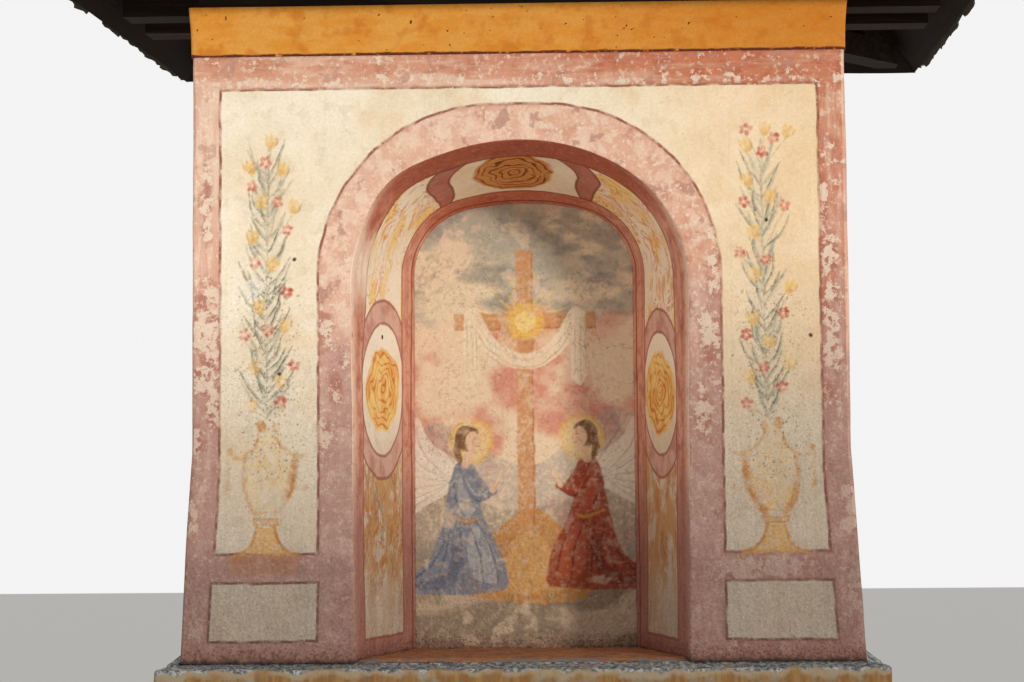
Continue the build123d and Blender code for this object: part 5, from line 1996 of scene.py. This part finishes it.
def lay_shingles(slope, material):
    """Courses of split shingles of uneven width, the first over a short starter course."""
    random = np.random.default_rng(200 + slope)
    slats = Slats()
    length = eave_line(slope)[3]
    slant_low, slant_high = hip_slant(slope)[0], hip_slant((slope + 1) % 4)[1]
    first = -SHINGLE_OVERHANG + 0.0015
    for course in range(-1, COURSES):
        foot = first + max(course, 0) * EXPOSURE
        top_butt = HEAD_LIFT if course < 0 else BUTT_LIFT
        low = foot * slant_low - 0.02
        high = length - foot * slant_high + 0.02
        left = low - 0.05 * random.random()
        while left < high:
            right = left + SHINGLE_WIDTH + SHINGLE_WIDER * random.random()
            nudge = 0.012 * (random.random() - 0.5) if course > 0 else 0.010 * random.random() ** 3
            start = foot + abs(nudge)
            if min(right, high - 0.02) - max(left, low + 0.02) > 0.012 and start < END_LINE - 0.012:
                add_shingle(slats, slope, left, right - SHINGLE_GAP, start, top_butt, random)
            left = right
    name = SLOPES[slope]
    piece = slats.build(f"{name}_shingle_courses", material)
    place(piece, "shingles", f"{name}_shingles")


def cap_run(slats, slope, start, end, inner, random):
    """Short cap boards laid from start to end in plan along a hip or the ridge, on one slope beside it."""
    origin, _, inward, _ = eave_line(slope)
    way = unit(end - start)
    length = np.linalg.norm(end - start)
    side = np.array([-way[1], way[0]])
    if (inner - start).dot(side) < 0:
        side = -side
    count = max(1, round(length / CAP_LENGTH))
    exposure = length / count
    for number in range(count):
        t = np.array([0.0, 0.03, 0.3, 0.65, 1.0, 1.25])[:, None] * exposure + number * exposure
        t = np.minimum(t, length)
        edge = CAP_WIDTH - 0.004 - 0.006 * random.random()
        across = np.array([0.0, 0.33, 0.66, 1.0]) * edge
        plan = start + way * t[..., None] + side * across[..., None]
        inset = ((plan - origin) * inward).sum(-1)
        part = (t - number * exposure) / exposure
        upper = BUTT_LIFT + CAP_THICKNESS - 0.0015 - 0.009 * np.clip(part, 0, 1.3)
        upper = upper - 0.0016 * (part < 0.01) - 0.0012 * random.random()
        lower = np.maximum(BUTT_LIFT + 0.009 - 0.009 * part, BUTT_LIFT + 0.0003)
        upper = np.maximum(upper, lower + 0.003)
        top, bottom = (
            np.concatenate([plan, (EAVE_LEVEL + inset + lift_by / HALF_PITCH)[..., None]], -1)
            for lift_by in (upper, lower)
        )
        slats.add(top, bottom, t + 4 * random.random(), across + random.random(), random.random())


def on_hip(corner, inset):
    """The place in plan on a hip at that inset from the joists' ends."""
    _, along, inward, _ = eave_line(corner)
    return CORNERS[corner] + (inward + along * hip_slant(corner)[0]) * inset


def make_caps(material):
    """Overlapping cap boards on both sides of each hip and of the ridge."""
    left, right = on_hip(0, END_LINE), on_hip(1, END_LINE)
    tops = [left, right, right, left]
    for corner, name in enumerate(["front_left", "front_right", "back_right", "back_left"]):
        random = np.random.default_rng(400 + corner)
        slats = Slats()
        foot = on_hip(corner, -CAP_OVERHANG)
        for slope, way in ((corner, 1), ((corner - 1) % 4, -1)):
            beside = eave_line(slope)[1]
            clip_cap(slats, slope, foot, tops[corner], foot + way * beside, random)
        piece = slats.build(f"{name}_cap_boards", material)
        place(piece, "shingles", f"{name}_hip_cap")
    random = np.random.default_rng(404)
    slats = Slats()
    for slope in (0, 2):
        into = eave_line(slope)[2]
        cap_run(slats, slope, left, right, left - into, random)
    place(slats.build("ridge_cap_boards", material), "shingles", "ridge_cap")


def clip_cap(slats, slope, start, end, inner, random):
    """A hip's cap boards, kept behind the eave line."""
    before = len(slats.points)
    cap_run(slats, slope, start, end, inner, random)
    origin, _, inward, _ = eave_line(slope)
    for points in slats.points[before:]:
        inset = ((points[:, :2] - origin) * inward).sum(1)
        short = np.maximum(-CAP_OVERHANG - inset, 0)
        points[:, :2] += inward * short[:, None]
        points[:, 2] += short


def make_roof():
    boards = board_material("roof_boarding", BOARD_COLOURS, 0.6, 0.016)
    shingles = board_material("shingles", SHINGLE_COLOURS, 0.55)
    for slope in range(4):
        lay_boards(slope, boards)
        lay_shingles(slope, shingles)
    make_caps(shingles)


# Camera, floor and light

PHOTO_WIDTH = 1024
FOCAL_PIXELS = 2250.0
SENSOR_WIDTH = 36.0
CAMERA_PLACE = Vector((0.1232, -5.1620, 1.5976))
CAMERA_RIGHT = Vector((0.99952764, 0.02976321, -0.00765769))
CAMERA_FORWARD = Vector((-0.02910524, 0.9967517, 0.07509285))
FLOOR_HALF = 40.0
LIGHT_AIM = Vector((0.0, -0.3, 1.8))
WORLD_LIGHT = 0.46
WORLD_SEEN = 0.9


def make_camera():
    data = bpy.data.cameras.new("camera")
    data.sensor_width = SENSOR_WIDTH
    data.lens = FOCAL_PIXELS / PHOTO_WIDTH * SENSOR_WIDTH
    camera = add_object("camera", data)
    forward = CAMERA_FORWARD.normalized()
    up = CAMERA_RIGHT.cross(forward).normalized()
    turn = Matrix((forward.cross(up), up, -forward)).transposed()
    camera.matrix_world = Matrix.Translation(CAMERA_PLACE) @ turn.to_4x4()
    bpy.context.scene.camera = camera


def make_floor():
    corners = [(-1, -1, 0), (1, -1, 0), (1, 1, 0), (-1, 1, 0)]
    material = Shader("floor").finish(srgb(228, 227, 224))
    mesh = make_mesh("floor", FLOOR_HALF * np.array(corners), [(0, 1, 2, 3)], [material], {})
    add_object("floor", mesh)


def make_lamp(name, place_at, power):
    """A round soft lamp that faces the middle of the shrine."""
    data = bpy.data.lights.new(name, "AREA")
    data.shape = "DISK"
    data.size = 3.0
    data.energy = power
    lamp = add_object(name, data)
    lamp.location = place_at
    lamp.rotation_euler = (LIGHT_AIM - place_at).to_track_quat("-Z", "Y").to_euler()


def make_sun(name, towards, angle, strength, colour):
    """An even light from one side, as soft as the angle in degrees is wide."""
    data = bpy.data.lights.new(name, "SUN")
    data.angle = math.radians(angle)
    data.energy = strength
    data.color = colour
    add_object(name, data).rotation_euler = (-towards).to_track_quat("-Z", "Y").to_euler()


def make_world():
    """White all round, dimmer as light than where the camera or a shiny surface looks straight at it."""
    world = bpy.data.worlds.new("studio")
    bpy.context.scene.world = world
    world.use_nodes = True
    tree = world.node_tree
    background = tree.nodes["Background"]
    background.inputs["Color"].default_value = (1.0, 1.0, 1.0, 1.0)
    rays = tree.nodes.new("ShaderNodeLightPath")
    seen = rays.outputs["Is Camera Ray"]
    for kind in ("Is Glossy Ray", "Is Transmission Ray"):
        either = tree.nodes.new("ShaderNodeMath")
        either.operation = "MAXIMUM"
        tree.links.new(seen, either.inputs[0])
        tree.links.new(rays.outputs[kind], either.inputs[1])
        seen = either.outputs[0]
    strength = tree.nodes.new("ShaderNodeMapRange")
    strength.inputs["To Min"].default_value = WORLD_LIGHT
    strength.inputs["To Max"].default_value = WORLD_SEEN
    tree.links.new(seen, strength.inputs["Value"])
    tree.links.new(strength.outputs[0], background.inputs["Strength"])


def make_stage():
    make_camera()
    make_floor()
    make_world()
    make_sun("key", Vector((3.0, -4.6, 0.85)), 8.0, 1.80, (1.0, 0.97, 0.93))
    make_lamp("fill", Vector((-4.2, -4.4, 2.6)), 40.0)
    make_lamp("back", Vector((-2.0, 5.0, 4.0)), 90.0)
    bpy.context.scene.view_settings.view_transform = "Standard"


make_stage()
face_paint = make_head()
make_masonry_rings()
make_floor_bed()
make_foot_fillets()
make_canvas("left_bouquet", (-0.634, 1.486), (-0.442, 2.435), paint_left, 21, face_paint)
make_canvas("right_bouquet", (0.442, 1.486), (0.634, 2.440), paint_right, 22, face_paint)
make_picture()
dress_timber()
make_roof()
